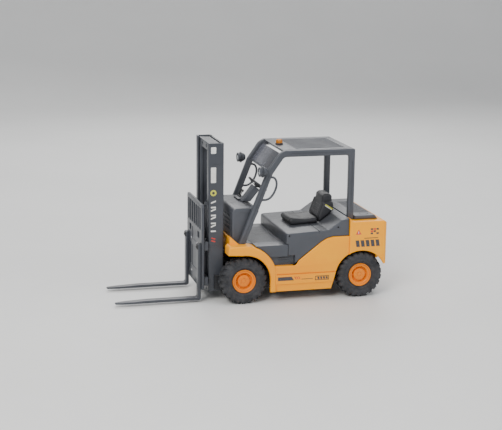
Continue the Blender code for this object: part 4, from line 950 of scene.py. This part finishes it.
def steering():
    base = COWL_TOP + GAP
    outline = [(-9, base), on_column(-4, 4.5), on_column(-4, -4.5), (-20, base)]
    x, _, z = WHEEL_CENTRE
    bore = leaning(disc((x, 0), 1.7, "z", z - 13, z, 0, 32))
    column = joined(
        slab(outline, 6.5, 1.4, corner=[0, 1.5, 1.5, 0]),
        add=[block((-17, -7), (-26, -4), (base, base + 2), 0.6)],
        cut=[bore])
    gaiters, knobs = [], []
    for i in range(3):
        y = -15 - 4 * i
        rod = tube(smooth_path([(-12, y, base + 1), (-14, y, base + 6), (-17, y, base + 10)], 5), 0.55, 12)
        gaiters += [
            rod,
            lathe(
                [(0, base + 1.9), (1.7, base + 1.9), (1.5, base + 2.6), (1, base + 3), (0, base + 3)],
                (-12.3, y), "z", 24)]
        knobs.append(
            lathe(
                [
                    (0, base + 7.6), (0.7, base + 7.7), (0.95, base + 8.6), (0.8, base + 9.7),
                    (0, base + 9.95)],
                (-16.2, y), "z", 24))
    piece("steering_column.cover", column, GREY, edge=0.25)
    piece("lever_rods", merged(*gaiters), BLACK)
    piece("lever_knobs", merged(*knobs), SEAT)

    ring = 12.2
    section = [(ring + u, z + v) for u, v in arc((0, 0), 1.4, 0, 342, 19)]
    rim = leaning(lathe(section, (x, 0), "z", 96))
    hub = leaning(
        lathe(
            [(0, z - 3.6), (2.4, z - 3.6), (3.2, z - 3), (3.3, z - 1), (2.9, z - 0.5), (0, z - 0.4)], (x, 0),
            "z", 48))
    shaft = leaning(disc((x, 0), 1.3, "z", z - 11.5, z - 2, 0, 32))
    spokes = []
    for i in range(3):
        bar = sweep(
            smooth_path([(x + 1.5, 0, z - 2.2), (x + 6.5, 0, z - 2.3), (x + ring - 0.3, 0, z - 0.6)], 5),
            [(-1.3, -0.45), (1.3, -0.45), (1.1, 0.45), (-1.1, 0.45)], (0, 0, 1))
        spokes.append(leaning(turned(bar, WHEEL_CENTRE, "Z", 90 + 120 * i)))
    piece("steering_wheel.rim", merged(rim, hub, shaft, *spokes), SEAT, "wheel", sharp=40)


seat()
steering()

# ---------------------------------------------------------------- overhead guard

PILLAR_WIDTH = 7.5
RAIL_Z = ROOF_TOP - PILLAR_WIDTH / 2
REAR_PILLAR_X = BODY_SPLIT - GAP * 2 - PILLAR_WIDTH / 2
HEADLAMP_Y, HEADLAMP_Z = 51, 155
FOOT, BEND = Vector((0.5, FENDER_TOP + GAP)), Vector((-32, 153))


def guard_side(name, side):
    low = FOOT - (BEND - FOOT) * 0.06
    line = [
        tuple(low), tuple(BEND), (-45, 171.5), (-49.5, RAIL_Z), (REAR_PILLAR_X, RAIL_Z),
        (REAR_PILLAR_X, WEIGHT_TOP + GAP)]
    outline = ribbon(line, PILLAR_WIDTH)
    radii = [0, 9, 8, 6, 3.6, 0, 0, 2.2, 6, 8, 9, 0]
    handle = smooth_path(
        [
            (-28, 0, 147), (-37, 0, 146.6), (-40.5, 0, 141), (-39.5, 0, 133), (-35, 0, 125), (-29, 0, 121),
            (-20, 0, 121)],
        6)
    middle = sum(GUARD_Y) / 2
    groove_lines = (
        [tuple(FOOT + (BEND - FOOT) * t) for t in (0.06, 0.97)], [(-58, RAIL_Z), (-121, RAIL_Z)],
        [(REAR_PILLAR_X, 164), (REAR_PILLAR_X, 102)])
    grooves = [
        slab(ribbon(line, 1.6), span(side, GUARD_Y[1] - 0.5, GUARD_Y[1] + 1)) for line in groove_lines]
    bars = [tube([(p.x, side * middle, p.z) for p in handle], 1.3, 16)]
    bars += [
        disc((x, z), 2.3, "y", *span(side, middle - 2.3, middle + 2.3), 0.5, 32)
        for x, z in ((-29.5, 147), (-21.5, 121))]
    frame_side = joined(
        slab(outline, span(side, *GUARD_Y), 1.3, 3, radii),
        add=bars,
        cut=[block((-20, 30), span(side, GUARD_Y[0] - 5, GUARD_Y[1] + 5), (50, FENDER_TOP + GAP)), *grooves])
    piece(f"guard_side_{name}.frame", frame_side, GREY, edge=0.25)


def roof():
    half = GUARD_Y[0] - GAP
    low = ROOF_TOP - 4
    outline = [(-51, low), (-49, ROOF_TOP - 0.6), (-52, ROOF_TOP), (-134, ROOF_TOP), (-134.5, low)]
    channels = [
        block((-126, -66), around(y, 2.2), (ROOF_TOP - 0.8, ROOF_TOP + 1), 0, 2) for y in range(-32, 33, 8)]
    under = [block((-128, -58), around(y, 2.6), (low - 1, low + 1.2), 0, 2) for y in range(-30, 31, 12)]
    piece(
        "roof_panel.plate",
        joined(slab(outline, half, 0.4, corner=[0, 0.6, 1.5, 1, 0]), cut=[*channels, *under]), GREY,
        edge=0.25)
    line = eased([(-47.2, 173), (-45.2, 170.3), (-32.6, 152.6)], 3)
    piece("front_visor.sheet", slab(ribbon(line, 1.8), half, 0.5), SMOKED)
    bead = ribbon([(-33.9, 154.4), (-32.4, 152.35)], 2.2)
    piece("visor_bead", slab(bead, half, 0.6), GREY)
    base, top = reach("beacon_lamp", "z")
    back, front = reach("beacon_lamp", "x")
    x, radius = (back + front) / 2, (front - back) / 2
    dome = [(0, base + 1.4), (radius - 0.5, base + 1.4), (radius - 0.7, top - 2.6)]
    dome += [
        (radius - 0.7 - 2.2 * (1 - math.cos(a)), top - 2.6 + 2.6 * math.sin(a)) for a in (0.5, 1, 1.57)
    ] + [(0, top)]
    flutes = [
        turned(block((x + radius - 1, x + radius), 0.14, (base + 1.8, top - 2)), (x, 0, 0), "Z", 20 * k)
        for k in range(18)]
    piece("beacon_lamp.dome", joined(lathe(dome, (x, 0), "z", 48), cut=flutes), AMBER)
    collar = lathe(
        [(0, base), (radius, base), (radius, base + 1.1), (radius - 0.4, base + 1.5), (0, base + 1.5)],
        (x, 0), "z", 48)
    piece("beacon_base", collar, BLACK)


def headlamp(name, side):
    y, z = side * HEADLAMP_Y, HEADLAMP_Z
    back, front = reach(f"headlamp_{name}", "x")
    low, high = reach(f"headlamp_{name}", "z")
    radius, deep = (high - low) / 2, front - back

    def turn(profile, sides=48):
        return lathe([(r, back + a) for r, a in profile], (y, z), "x", sides)

    shell = [
        (0, 0), (2.6, 0), (3.6, 0.5), (radius - 0.7, 2.6), (radius - 0.3, 3.4), (radius - 0.3, deep - 2.2),
        (radius, deep - 1.9), (radius, deep - 0.2), (radius - 0.3, deep), (radius - 0.75, deep),
        (radius - 0.95, deep - 2.4), (2, 4), (0, 3.8)]
    ribs = [turn(rect((radius - 0.45, radius + 1), (v, v + 0.4)), 64) for v in (4.2, 5.2, 6.2)]
    piece(f"headlamp_{name}.bucket", joined(turn(shell, 64), cut=ribs), GREY, edge=0.12)
    bowl = [
        (0, 4.4), (1.8, 4.5), (3.2, 5.6), (radius - 1.35, deep - 2.2), (radius - 1.15, deep - 2.2),
        (3.1, 5.2), (1.9, 4.2), (0, 4.1)]
    bulb = [(0, 4.6), (0.8, 4.7), (1.1, 6), (0.7, 7), (0, 7.2)]
    piece(f"headlamp_reflector_{name}", turn(bowl), BRIGHT)
    piece(f"headlamp_bulb_{name}", turn(bulb, 24), CLEAR)
    r = radius - 1.2
    glass = [
        (0, deep - 1.9), (r, deep - 2), (r, deep - 1.5), (r * 0.7, deep - 0.6), (r * 0.35, deep - 0.2),
        (0, deep - 0.1)]
    piece(f"headlamp_lens_{name}.glass", turn(glass), CLEAR)


roof()
for side in SIDES:
    guard_side(*side)
    headlamp(*side)

# ---------------------------------------------------------------- wheels


LUGS, WALL_MARKS, NUTS, NUT_CIRCLE = 22, 10, 6, 4.7


def tyre_lugs(centre_x, side_y, half):
    """The tread: two rows of bars that slant from the shoulders to the tyre's middle."""
    stations = [
        (0.5, TYRE_RADIUS - 0.05), (3.4, TYRE_RADIUS), (6.4, TYRE_RADIUS), (8.4, 25.9), (half - 0.05, 22.8)]
    bm = bmesh.new()
    for row in (-1, 1):
        for i in range(LUGS):
            middle = 360 / LUGS * (i + (0.25 if row > 0 else -0.25))
            rings = []
            for y, r in stations:
                lean = 6.5 * y / half
                corners = []
                for spread, drop in ((-4.6, 0), (4.6, 0), (5.5, 1.9), (-5.5, 1.9)):
                    a = math.radians(middle + lean + spread)
                    corners.append(
                        bm.verts.new(
                            (
                                centre_x + (r - drop) * math.cos(a), side_y + row * y, AXLE_Z
                                + (r - drop) * math.sin(a))))
                rings.append(corners)
            bm.faces.new(rings[0])
            bm.faces.new(rings[-1])
            bridge(bm, rings)
    bmesh.ops.recalc_face_normals(bm, faces=bm.faces)
    return bm


def wheel(name, side, x, body):
    half = (TYRE_Y[1] - TYRE_Y[0]) / 2
    y = side * WHEEL_Y

    def turn(profile, sides):
        return lathe([(r, y + side * a) for r, a in profile], (x, AXLE_Z), "y", sides)

    wall = [
        (RIM_RADIUS + GAP, 7.2), (14.8, 8), (16.4, 8.7), (16.8, 9.2), (17.4, 9.2), (17.7, 8.9), (20.2, 9.1),
        (20.5, half), (21.1, half), (21.4, 9.2), (23.4, 8.9), (24.9, 7.9), (25.8, 6.4), (26, 4)]
    profile = wall + [(r, -a) for r, a in wall[::-1]]
    carcass = turn(profile, 96)
    marks = []
    for k in range(WALL_MARKS):
        bar = block(
            (x + 18.3, x + 19.7), (y + side * 8.6 - 0.5, y + side * 8.6 + 0.55), around(AXLE_Z, 1.7), 0.15)
        marks.append(turned(bar, (x, 0, AXLE_Z), "Y", 360 / WALL_MARKS * k + 12))
    piece(f"{name}_tyre.tread", merged(carcass, tyre_lugs(x, y, half), *marks), RUBBER, body, edge=0.18)

    rim = [
        (0, 5.2), (2.6, 5.2), (3, 5.9), (6.3, 6), (6.9, 5.7), (7.2, 5), (7.5, 3.1), (8.1, 2.7), (8.8, 2.7),
        (9.3, 3.2), (9.7, 6), (10.1, 7), (10.5, 7.3), (11.8, 7.3), (12.1, 7), (12.4, 7.3), (12.7, 8.4),
        (13.1, 8.6), (13.6, 8.4), (RIM_RADIUS, 7.8), (RIM_RADIUS, -7), (11.5, -7), (11, 0), (7.4, 0),
        (5.6, -6.6), (2.3, -6.6), (2.3, 4.6), (0, 4.6)]
    dish = turn(rim, 96)
    nuts, webs = [], []
    for k in range(NUTS):
        a = math.radians(60 * k + 30)
        at = (x + NUT_CIRCLE * math.cos(a), AXLE_Z + NUT_CIRCLE * math.sin(a))
        face = y + side * 5.9
        nuts.append(
            prism(
                circle(at, 0.95, 6), "y", *sorted((face - side * 0.3, face + side * 0.7)),
                ends(side, 0, 0.2), 2))
        web = block((x + 6.8, x + 9.9), sorted((y + side * 2.4, y + side * 3.9)), around(AXLE_Z, 0.7), 0.25)
        webs.append(turned(web, (x, 0, AXLE_Z), "Y", 60 * k))
    piece(f"{name}_rim.dish", merged(dish, *nuts, *webs), ORANGE, body, edge=0.12)
    cap = turn([(0, 5), (2.3, 5.05), (2.3, 5.45), (1.5, 5.75), (0, 5.85)], 32)
    piece(f"{name}_hub_cap", cap, ORANGE, body)


for side_name, side_sign in SIDES:
    wheel(f"front_{side_name}", side_sign, 0, "drive_axle")
    wheel(f"rear_{side_name}", side_sign, REAR_X, f"rear_wheel_{side_name}")

# ---------------------------------------------------------------- mast, carriage and forks

CHANNEL, CHANNEL_IN, RAIL_IN = 2, 25.5, 21.5
RAIL_OUT = MAST_HALF - CHANNEL - 0.5
RAIL_X = (MAST_BACK + CHANNEL + 0.4, MAST_FRONT - CHANNEL - 0.4)
TUB_HALF = 38
PIVOT = (24, 24)
TILT_PIN = (15.5, 50)


def hex_bolt(centre, along, face, height, radius=1.3):
    """A hexagonal bolt head on a washer. height may be negative, to point the other way."""
    washer = disc(centre, radius * 1.35, along, *sorted((face, face + height * 0.25)), 0, 28)
    head = prism(circle(centre, radius, 6), along, *sorted((face, face + height)))
    return [washer, head]


def outer_mast():
    def channel(side):
        line = [
            (MAST_BACK, CHANNEL_IN), (MAST_BACK, MAST_HALF), (MAST_FRONT, MAST_HALF),
            (MAST_FRONT, CHANNEL_IN), (MAST_FRONT - CHANNEL, CHANNEL_IN),
            (MAST_FRONT - CHANNEL, MAST_HALF - CHANNEL), (MAST_BACK + CHANNEL, MAST_HALF - CHANNEL),
            (MAST_BACK + CHANNEL, CHANNEL_IN)]
        return prism(
            [(u, side * v) for u, v in line], "z", MAST_BOTTOM, MAST_TOP, 0.3, 2,
            [0.5, 1.2, 1.2, 0.5, 0.5, 0.8, 0.8, 0.5])

    back = (MAST_BACK, MAST_BACK + CHANNEL)
    heights = ((MAST_BOTTOM, 30), (42, 58), (108, 120), (176, 186.5))
    plates = [block(back, 33, z, 0, 1.5, "x") for z in heights]
    floor = block((MAST_BACK, MAST_FRONT - 4), 33, (MAST_BOTTOM, MAST_BOTTOM + 2.2))
    pivots = [disc(PIVOT, 3, "y", *span(s, MAST_HALF - 1, TUB_HALF), ends(s, 0, 0.4), 48) for s in BOTH]
    lug = prism(
        [
            (TILT_PIN[0] - 2.6, TILT_PIN[1] + 3.2), (TILT_PIN[0] - 2.6, TILT_PIN[1] - 3.2),
            (MAST_BACK + 1, TILT_PIN[1] - 3.2), (MAST_BACK + 1, TILT_PIN[1] + 3.2)],
        "y", -1.5, 1.5, 0.2, corner=[2.4, 2.4, 0, 0])
    slots = [
        block((MAST_BACK - 1, MAST_BACK + 3), 20, (111.2, 116.8), 0, 2.6, "x"),
        block((MAST_BACK - 1, MAST_BACK + 3), 22, (178.6, 183.6), 0, 2.2, "x")]
    weld = [
        block((MAST_BACK + 4, MAST_FRONT - 4), span(s, MAST_HALF - 0.35, MAST_HALF + 1), (z, z + 0.5))
        for s in BOTH for z in (66, 162)]
    mast = joined(
        channel(1),
        add=[channel(-1), *plates, floor, *pivots, lug],
        cut=[disc(TILT_PIN, 1.9, "y", -5, 5, 0, 32), *slots, *weld])
    piece("outer_mast.channels", mast, MAST_GREY, "mast", edge=0.2)
    bolts = [hex_bolt((s * 27.5, z), "x", MAST_BACK, -1) for s in BOTH for z in (46, 54, 111, 117, 181)]
    piece("mast_bolts", merged(*sum(bolts, [])), STEEL, "mast")


CHAIN_X, CHAIN_Y, CHAIN_PITCH = 26, 12.5, 3


def chain(y, low, high):
    """A leaf chain: link plates that overlap in pairs, and their pins."""
    shapes, x = [], CHAIN_X
    for k in range(int((high - low) / CHAIN_PITCH)):
        z = low + CHAIN_PITCH * k
        for offset in (-1.1, 1.1) if k % 2 else (-0.4, 0.4):
            shapes.append(
                prism(
                    rect(around(x, 0.75), (z, z + CHAIN_PITCH + 1.2)), "y", *around(y + offset, 0.28),
                    corner=0.7))
        shapes.append(disc((x, z + 0.6), 0.42, "y", y - 1.5, y + 1.5, 0, 12))
    return merged(*shapes)


def inner_mast():
    top = MAST_TOP - 1.5
    rails = twins(RAIL_X, (RAIL_IN, RAIL_OUT), (16, top), 0.3, 0.8)
    cross = [block((RAIL_X[0], RAIL_X[0] + 2.2), RAIL_IN + 1, z) for z in ((30, 40), (122, 130))]
    head = block(RAIL_X, RAIL_IN + 1, (176, top), 0.6, 1.2, "y")
    grooves = twins((RAIL_X[0] + 3, RAIL_X[1] - 3), (RAIL_IN - 1, RAIL_IN + 3), (10, 174))
    lightening = [disc((y, 180.8), 2.6, "x", RAIL_X[1] - 1.2, RAIL_X[1] + 2, 0, 40) for y in (-11, 11)]
    slot = [block((RAIL_X[0] - 1, RAIL_X[0] + 4), 9, (124.2, 127.8), 0, 1.7, "x")]
    mast = joined(rails[0], add=[rails[1], *cross, head], cut=[*grooves, *lightening, *slot])
    piece("inner_mast.rails", mast, MAST_GREY, "mast_inner", edge=0.2)
    for name, s in SIDES:
        piece(f"lift_chain_{name}", chain(s * CHAIN_Y, 36, 174), STEEL, "mast_inner")
        anchor = merged(
            block((RAIL_X[0] + 2, 27.4), span(s, 9.8, 15.2), (32.4, 37.6), 0.5),
            disc((s * CHAIN_Y, 35), 1.5, "x", 27, 28.2, 0.3, 6))
        piece(f"chain_anchor_{name}", anchor, STEEL, "mast_inner")


LIFT_X, LIFT_ROD = 29.5, 2.2


def lift():
    top = reach("lift_cylinder", "z")[1]
    barrel = [
        (LIFT_ROD + 0.4, 30), (4.3, 30), (4.6, 30.4), (4.6, 33.5), (4.1, 34), (4.1, top - 8.5),
        (4.6, top - 8), (4.6, top - 5.4), (4.2, top - 5.2), (4.2, top - 4.4), (5.1, top - 4.2),
        (5.4, top - 3.8), (5.4, top - 0.5), (4.9, top), (3.4, top), (3.2, top - 0.6),
        (LIFT_ROD + 0.4, top - 0.6)]
    piece("lift_cylinder.barrel", lathe(barrel, (LIFT_X, 0), "z", 64), MAST_GREY, "mast")
    seal = lathe(
        [(LIFT_ROD + 0.1, top - 1.2), (3, top - 1.2), (3, top - 0.3), (LIFT_ROD + 0.1, top - 0.1)],
        (LIFT_X, 0), "z", 48)
    piece("lift_rod_seal", seal, SEAT, "mast")
    low, high = reach("lift_rod", "z")
    rod = [
        (0, low), (LIFT_ROD - 0.3, low), (LIFT_ROD, low + 0.3), (LIFT_ROD, high - 2.6), (1.7, high - 2.2),
        (1.7, high), (0, high)]
    piece("lift_rod.bar", lathe(rod, (LIFT_X, 0), "z", 48), ROD_STEEL, "mast_inner")


BAR_X = (MAST_FRONT + 1, BACKREST_BACK - GAP)


def carriage():
    bars = [block(BAR_X, 38.5, z, 0.5, 0.7, "y") for z in ((20, 30), (62, 72))]
    cheeks = twins((RAIL_X[0] + 3.5, BAR_X[0] + 1), (RAIL_IN - 3, RAIL_IN - 0.4), (22, 72), 0.2, 2, "y")
    shoes = [
        disc(
            ((RAIL_X[0] + RAIL_X[1]) / 2, z), (RAIL_X[1] - RAIL_X[0]) / 2 - 3.6, "y",
            *span(s, RAIL_IN - 1, RAIL_IN + 2.6), 0.3, 40)
        for s in BOTH for z in (27.5, 66.5)]
    notches = [
        block((BAR_X[0] + 0.6, BAR_X[1] - 0.6), around(y, 1.1), (71.2, 73)) for y in range(-30, 31, 6)]
    whole = joined(bars[0], add=[*cheeks, bars[1], *shoes], cut=notches)
    piece("carriage.bars", whole, MAST_GREY, "fork_carriage", edge=0.2)


def load_backrest():
    half, (low, top) = reach("load_backrest", "y")[1], reach("load_backrest", "z")
    slits = 7
    pitch = 2 * (half - 5) / slits
    middles = [-half + 5 + pitch * (i + 0.5) for i in range(slits)]
    deep = (BACKREST_FRONT - 6, BACKREST_FRONT + 1)
    windows = [block(deep, span(s, 17, 27.5), z, 0, 1.4, "x") for s in BOTH for z in ((32, 60), (74, 82))]
    panel = [
        block((BACKREST_FRONT - 0.6, BACKREST_FRONT + 1), 13, z, 0, 1.6, "x") for z in ((33, 59), (66, 81))]
    plate = joined(
        block((BACKREST_BACK, BACKREST_FRONT), half, (low, top), 0.5, 5, "x"),
        cut=[
            *[
                block(deep, (y - pitch / 2 + 1.2, y + pitch / 2 - 1.2), (86, 112), 0, 1.6, "x")
                for y in middles],
            *windows, *panel])
    piece("load_backrest.plate", plate, MAST_GREY, "fork_carriage", edge=0.2)
    bolts = [hex_bolt((s * 15, z), "x", BACKREST_FRONT - 0.1, 0.6, 1.1) for s in BOTH for z in (26, 66)]
    piece("backrest_bolts", merged(*sum(bolts, [])), STEEL, "fork_carriage")


def fork(name, side):
    heel, top_z, low = BACKREST_FRONT + GAP, 6.2, reach("fork_left", "z")[0]
    outline = [
        (heel, 70), (heel + 3.4, 70), (heel + 3.6, top_z), (FORK_TIP - 38, top_z), (FORK_TIP - 1, low + 1.8),
        (FORK_TIP, low + 0.9), (FORK_TIP - 1, low), (heel, low)]
    y = span(side, *reach("fork_left", "y"))
    tip = []
    for edge, way in ((y[0], 1), (y[1], -1)):
        curve = [(FORK_TIP - 24 + 24.5 * t, edge + way * 2.7 * t * t) for t in (k / 8 for k in range(9))]
        tip.append(
            prism([*curve, (FORK_TIP + 2, edge - way * 3), (FORK_TIP - 24, edge - way * 3)], "z", 0, 20))
    blade = joined(prism(outline, "y", *y, 0.45, 3, [0.8, 0.8, 2.6, 8, 0, 0, 0.5, 3.2]), cut=tip)
    piece(f"fork_{name}.blade", blade, MAST_GREY, "fork_carriage", edge=0.12)
    hook = block((heel + 0.1, heel + 4.6), (y[0] + 1.2, y[1] - 1.2), (63.5, 69.2), 0.6, 1, "x")
    piece(
        f"fork_latch_{name}", merged(hook, *hex_bolt((side * 34, 66.4), "x", heel + 4.4, 0.9, 1.2)), BLACK,
        "fork_carriage")


def tilt_linkage():
    start, end = Vector((-8, 44)), Vector(TILT_PIN)
    run = (end - start).normalized()
    up = Vector((0, 0, 1)).rotation_difference(Vector((run.x, 0, run.y))).to_matrix()

    def along(profile):
        bm = lathe([(r, a) for r, a in profile], (0, 0), "z", 40)
        bmesh.ops.rotate(bm, cent=(0, 0, 0), matrix=up, verts=bm.verts)
        bmesh.ops.translate(bm, vec=(start.x, 0, start.y), verts=bm.verts)
        return bm

    barrel = along(
        [
            (0, -3.5), (3, -3.5), (3.4, -3.1), (3.4, 0.8), (3, 1.2), (3, 10.6), (3.4, 11), (3.4, 12.7),
            (3.1, 13), (2, 13), (2, 3), (0, 3)])
    trunnion = disc(start, 1.5, "y", -7.3, 7.3, 0.3, 32)
    piece("tilt_cylinder.barrel", merged(barrel, trunnion), MAST_GREY, "tilt_barrel")
    eye = (end - start).length
    rod = along([(0, 6.5), (1.6, 6.5), (1.6, eye - 4.2), (0, eye - 4.2)])
    near, far = TILT_PIN[0] - 5.4, TILT_PIN[0] + 2
    z = (TILT_PIN[1] - 2.2, TILT_PIN[1] + 2.2)
    cheeks = [
        prism(rect((near, far), z), "y", *span(s, 2, 4.4), 0.3, corner=[0.4, 1.9, 1.9, 0.4]) for s in BOTH]
    clevis = merged(
        rod, block((near, near + 2), 4.4, z, 0.3), *cheeks, disc(TILT_PIN, 1.3, "y", -4.4, 4.4, 0.2, 28))
    piece("tilt_rod.clevis", clevis, STEEL, "tilt_ram")


outer_mast()
inner_mast()
lift()
carriage()
load_backrest()
tilt_linkage()
for side in SIDES:
    fork(*side)

# ---------------------------------------------------------------- stickers, all of them plain marks

FILM, THIN_FILM = 0.09, 0.07
MARK_X, DISC_Z = 31.8, 129
STROKES = ((83, 0), (88.2, 2.2), (92.4, 0), (97.6, 2.2), (101.8, 0), (107, 2.2), (111.2, 0), (116.4, 2.2))


def stickers(side_name, side):
    def put(name, outlines, ink, face, film=FILM, body="truck", corner=0):
        """Flat inked shapes on the side face at y = face, standing proud by the thickness of their film."""
        shapes = [slab(outline, span(side, face - 0.2, face + film), corner=corner) for outline in outlines]
        piece(f"{name}_{side_name}", merged(*shapes), ink, body)

    badge = [rect((-102.4, -85.4), z) for z in ((24.8, 25.6), (29.2, 30))]
    badge += [rect(x, (24.8, 30)) for x in ((-102.4, -101.6), (-86.2, -85.4))]
    badge += [rect((-100.6 + 3.4 * k, -98.2 + 3.4 * k), (26, 28.8), 0.6) for k in range(4)]
    put("sill_bar", [[(-39.8, 26.2), (-39.8, 30.8), (-56.6, 30.8), (-59.6, 26.2)]], DARK_INK, FLANK_Y)
    put(
        "sill_chevrons", [ribbon([(-60.2 - 2.4 * k, 30.6), (-62.2 - 2.4 * k, 27)], 0.9) for k in range(3)],
        RED_INK, FLANK_Y)
    put("sill_line", [rect((-82.6, -68.5), (26.8, 27.5))], DARK_INK, FLANK_Y)
    put("sill_badge", badge, DARK_INK, FLANK_Y)

    tiles = [
        rect((-155.4 - 3.6 * i, -152.4 - 3.6 * i), (77.2 + 2.6 * j, 79.3 + 2.6 * j)) for i in range(3)
        for j in range(3)]
    bars = [rect((-163 + 6.2 * k, -158.6 + 6.2 * k), (62.6, 70.6), 1.4) for k in range(5)]
    put("weight_triangle", [[(-141, 77.6), (-134, 77.6), (-137.5, 83.6)]], RED_INK, WEIGHT_HALF, THIN_FILM)
    put(
        "weight_triangle_mark", [[(-137.9, 78.6), (-137.1, 78.6), (-137.2, 81.4), (-137.8, 81.4)]],
        WHITE_INK, WEIGHT_HALF, 0.1)
    put("weight_tiles", tiles[::2], DARK_INK, WEIGHT_HALF, THIN_FILM)
    put("weight_tiles_red", tiles[1::4], RED_INK, WEIGHT_HALF, THIN_FILM)
    put("weight_bars", [*bars, rect((-161.8, -144.7), (72.4, 73.2), 0.2)], DARK_INK, WEIGHT_HALF, THIN_FILM)

    low, high = around(MARK_X, 2.9)
    strokes = [[(low, z + d), (high, z), (high, z + 1.7), (low, z + 1.7 + d)] for z, d in STROKES]
    red = [ribbon([(MARK_X - 2.4, 71.2 + 3.2 * k), (MARK_X + 2.4, 72.6 + 3.2 * k)], 1.4) for k in range(2)]
    wide = around(MARK_X, 3)
    put("mast_blocks", strokes, WHITE_INK, MAST_HALF, body="mast")
    put("mast_disc", [arc((MARK_X, DISC_Z), 3.6, 0, 348, 29)], LIME_INK, MAST_HALF, body="mast")
    put(
        "mast_disc_core", [arc((MARK_X, DISC_Z), 1.7, 0, 330, 11)], DARK_INK, MAST_HALF, 0.13, "mast")
    put("mast_panel", [rect(wide, (141, 159))], WHITE_INK, MAST_HALF, FILM, "mast", 0.8)
    put("mast_square", [rect(wide, (175, 182.5))], WHITE_INK, MAST_HALF, FILM, "mast", 0.8)
    put("mast_red", red, RED_INK, MAST_HALF, body="mast")


for side in SIDES:
    stickers(*side)

# ---------------------------------------------------------------- studio


def studio_floor():
    n = Nodes("studio_floor", 0.6)
    n.colour(n.mix(n.map(n.noise(3, 3), 0.3, 0.7, 0, 1), rgb(226, 226, 224), rgb(221, 221, 219)))
    n.gloss(n.noise(40), 0.55, 0.68)
    size, depth, rise = 3, 1.6, 0.9
    outline = [
        (-size, 0),
        *[
            (depth + rise * math.sin(a), rise * (1 - math.cos(a)))
            for a in (math.radians(90 * k / 16) for k in range(17))],
        (depth + rise, 3.2)]
    bm = bmesh.new()
    rings = [[bm.verts.new((x, -v, w)) for v, w in outline] for x in (-4, 4)]
    for a, b in zip(zip(rings[0], rings[1]), list(zip(rings[0], rings[1]))[1:]):
        bm.faces.new((a[0], a[1], b[1], b[0]))
    bmesh.ops.recalc_face_normals(bm, faces=bm.faces)
    mesh = mesh_of("floor", bm)
    mesh.materials.append(n.material)
    mesh.shade_smooth()
    linked("floor", mesh)


def soft_light(name, place, target, size, power, colour=(1, 1, 1)):
    data = bpy.data.lights.new(name, "AREA")
    data.shape = "RECTANGLE"
    data.size, data.size_y = size
    data.energy = power
    data.color = colour
    obj = linked(name, data)
    obj.location = place
    obj.rotation_euler = (Vector(target) - Vector(place)).to_track_quat("-Z", "Y").to_euler()


CAMERA_AT = Vector((0.3601, 1.3935, 0.4116))
CAMERA_RIGHT = Vector((-0.96715, 0.25398, 0.01046))
CAMERA_UP = Vector((-0.04692, -0.21877, 0.97465))
LENS, SHIFT_Y = 88.45, 0.02


def camera():
    data = bpy.data.cameras.new("camera")
    data.lens = LENS
    data.sensor_width = 36
    data.shift_y = SHIFT_Y
    data.clip_start, data.clip_end = 0.01, 50
    obj = linked("camera", data)
    back = CAMERA_RIGHT.cross(CAMERA_UP)
    obj.matrix_world = Matrix((CAMERA_RIGHT, CAMERA_UP, back)).transposed().to_4x4()
    obj.location = CAMERA_AT
    bpy.context.scene.camera = obj


def world():
    surroundings = bpy.data.worlds.new("studio")
    surroundings.use_nodes = True
    background = surroundings.node_tree.nodes["Background"]
    background.inputs["Color"].default_value = (0.93, 0.95, 1, 1)
    background.inputs["Strength"].default_value = 0.55
    bpy.context.scene.world = surroundings


studio_floor()
for light in (
        ("key", (0.95, 1.25, 1.35), (0, 0, 0.06), (0.9, 0.9), 30, (1, 0.98, 0.95)),
        ("fill", (-1.3, 1.1, 0.8), (0, 0, 0.08), (1.2, 1), 9, (0.95, 0.97, 1)),
        ("top", (0, 0, 1.6), (0, 0, 0), (1.2, 0.7), 9),
        ("rim", (-0.3, -1.3, 1), (0, 0, 0.1), (1.2, 0.6), 12)):
    soft_light(*light)
world()
camera()
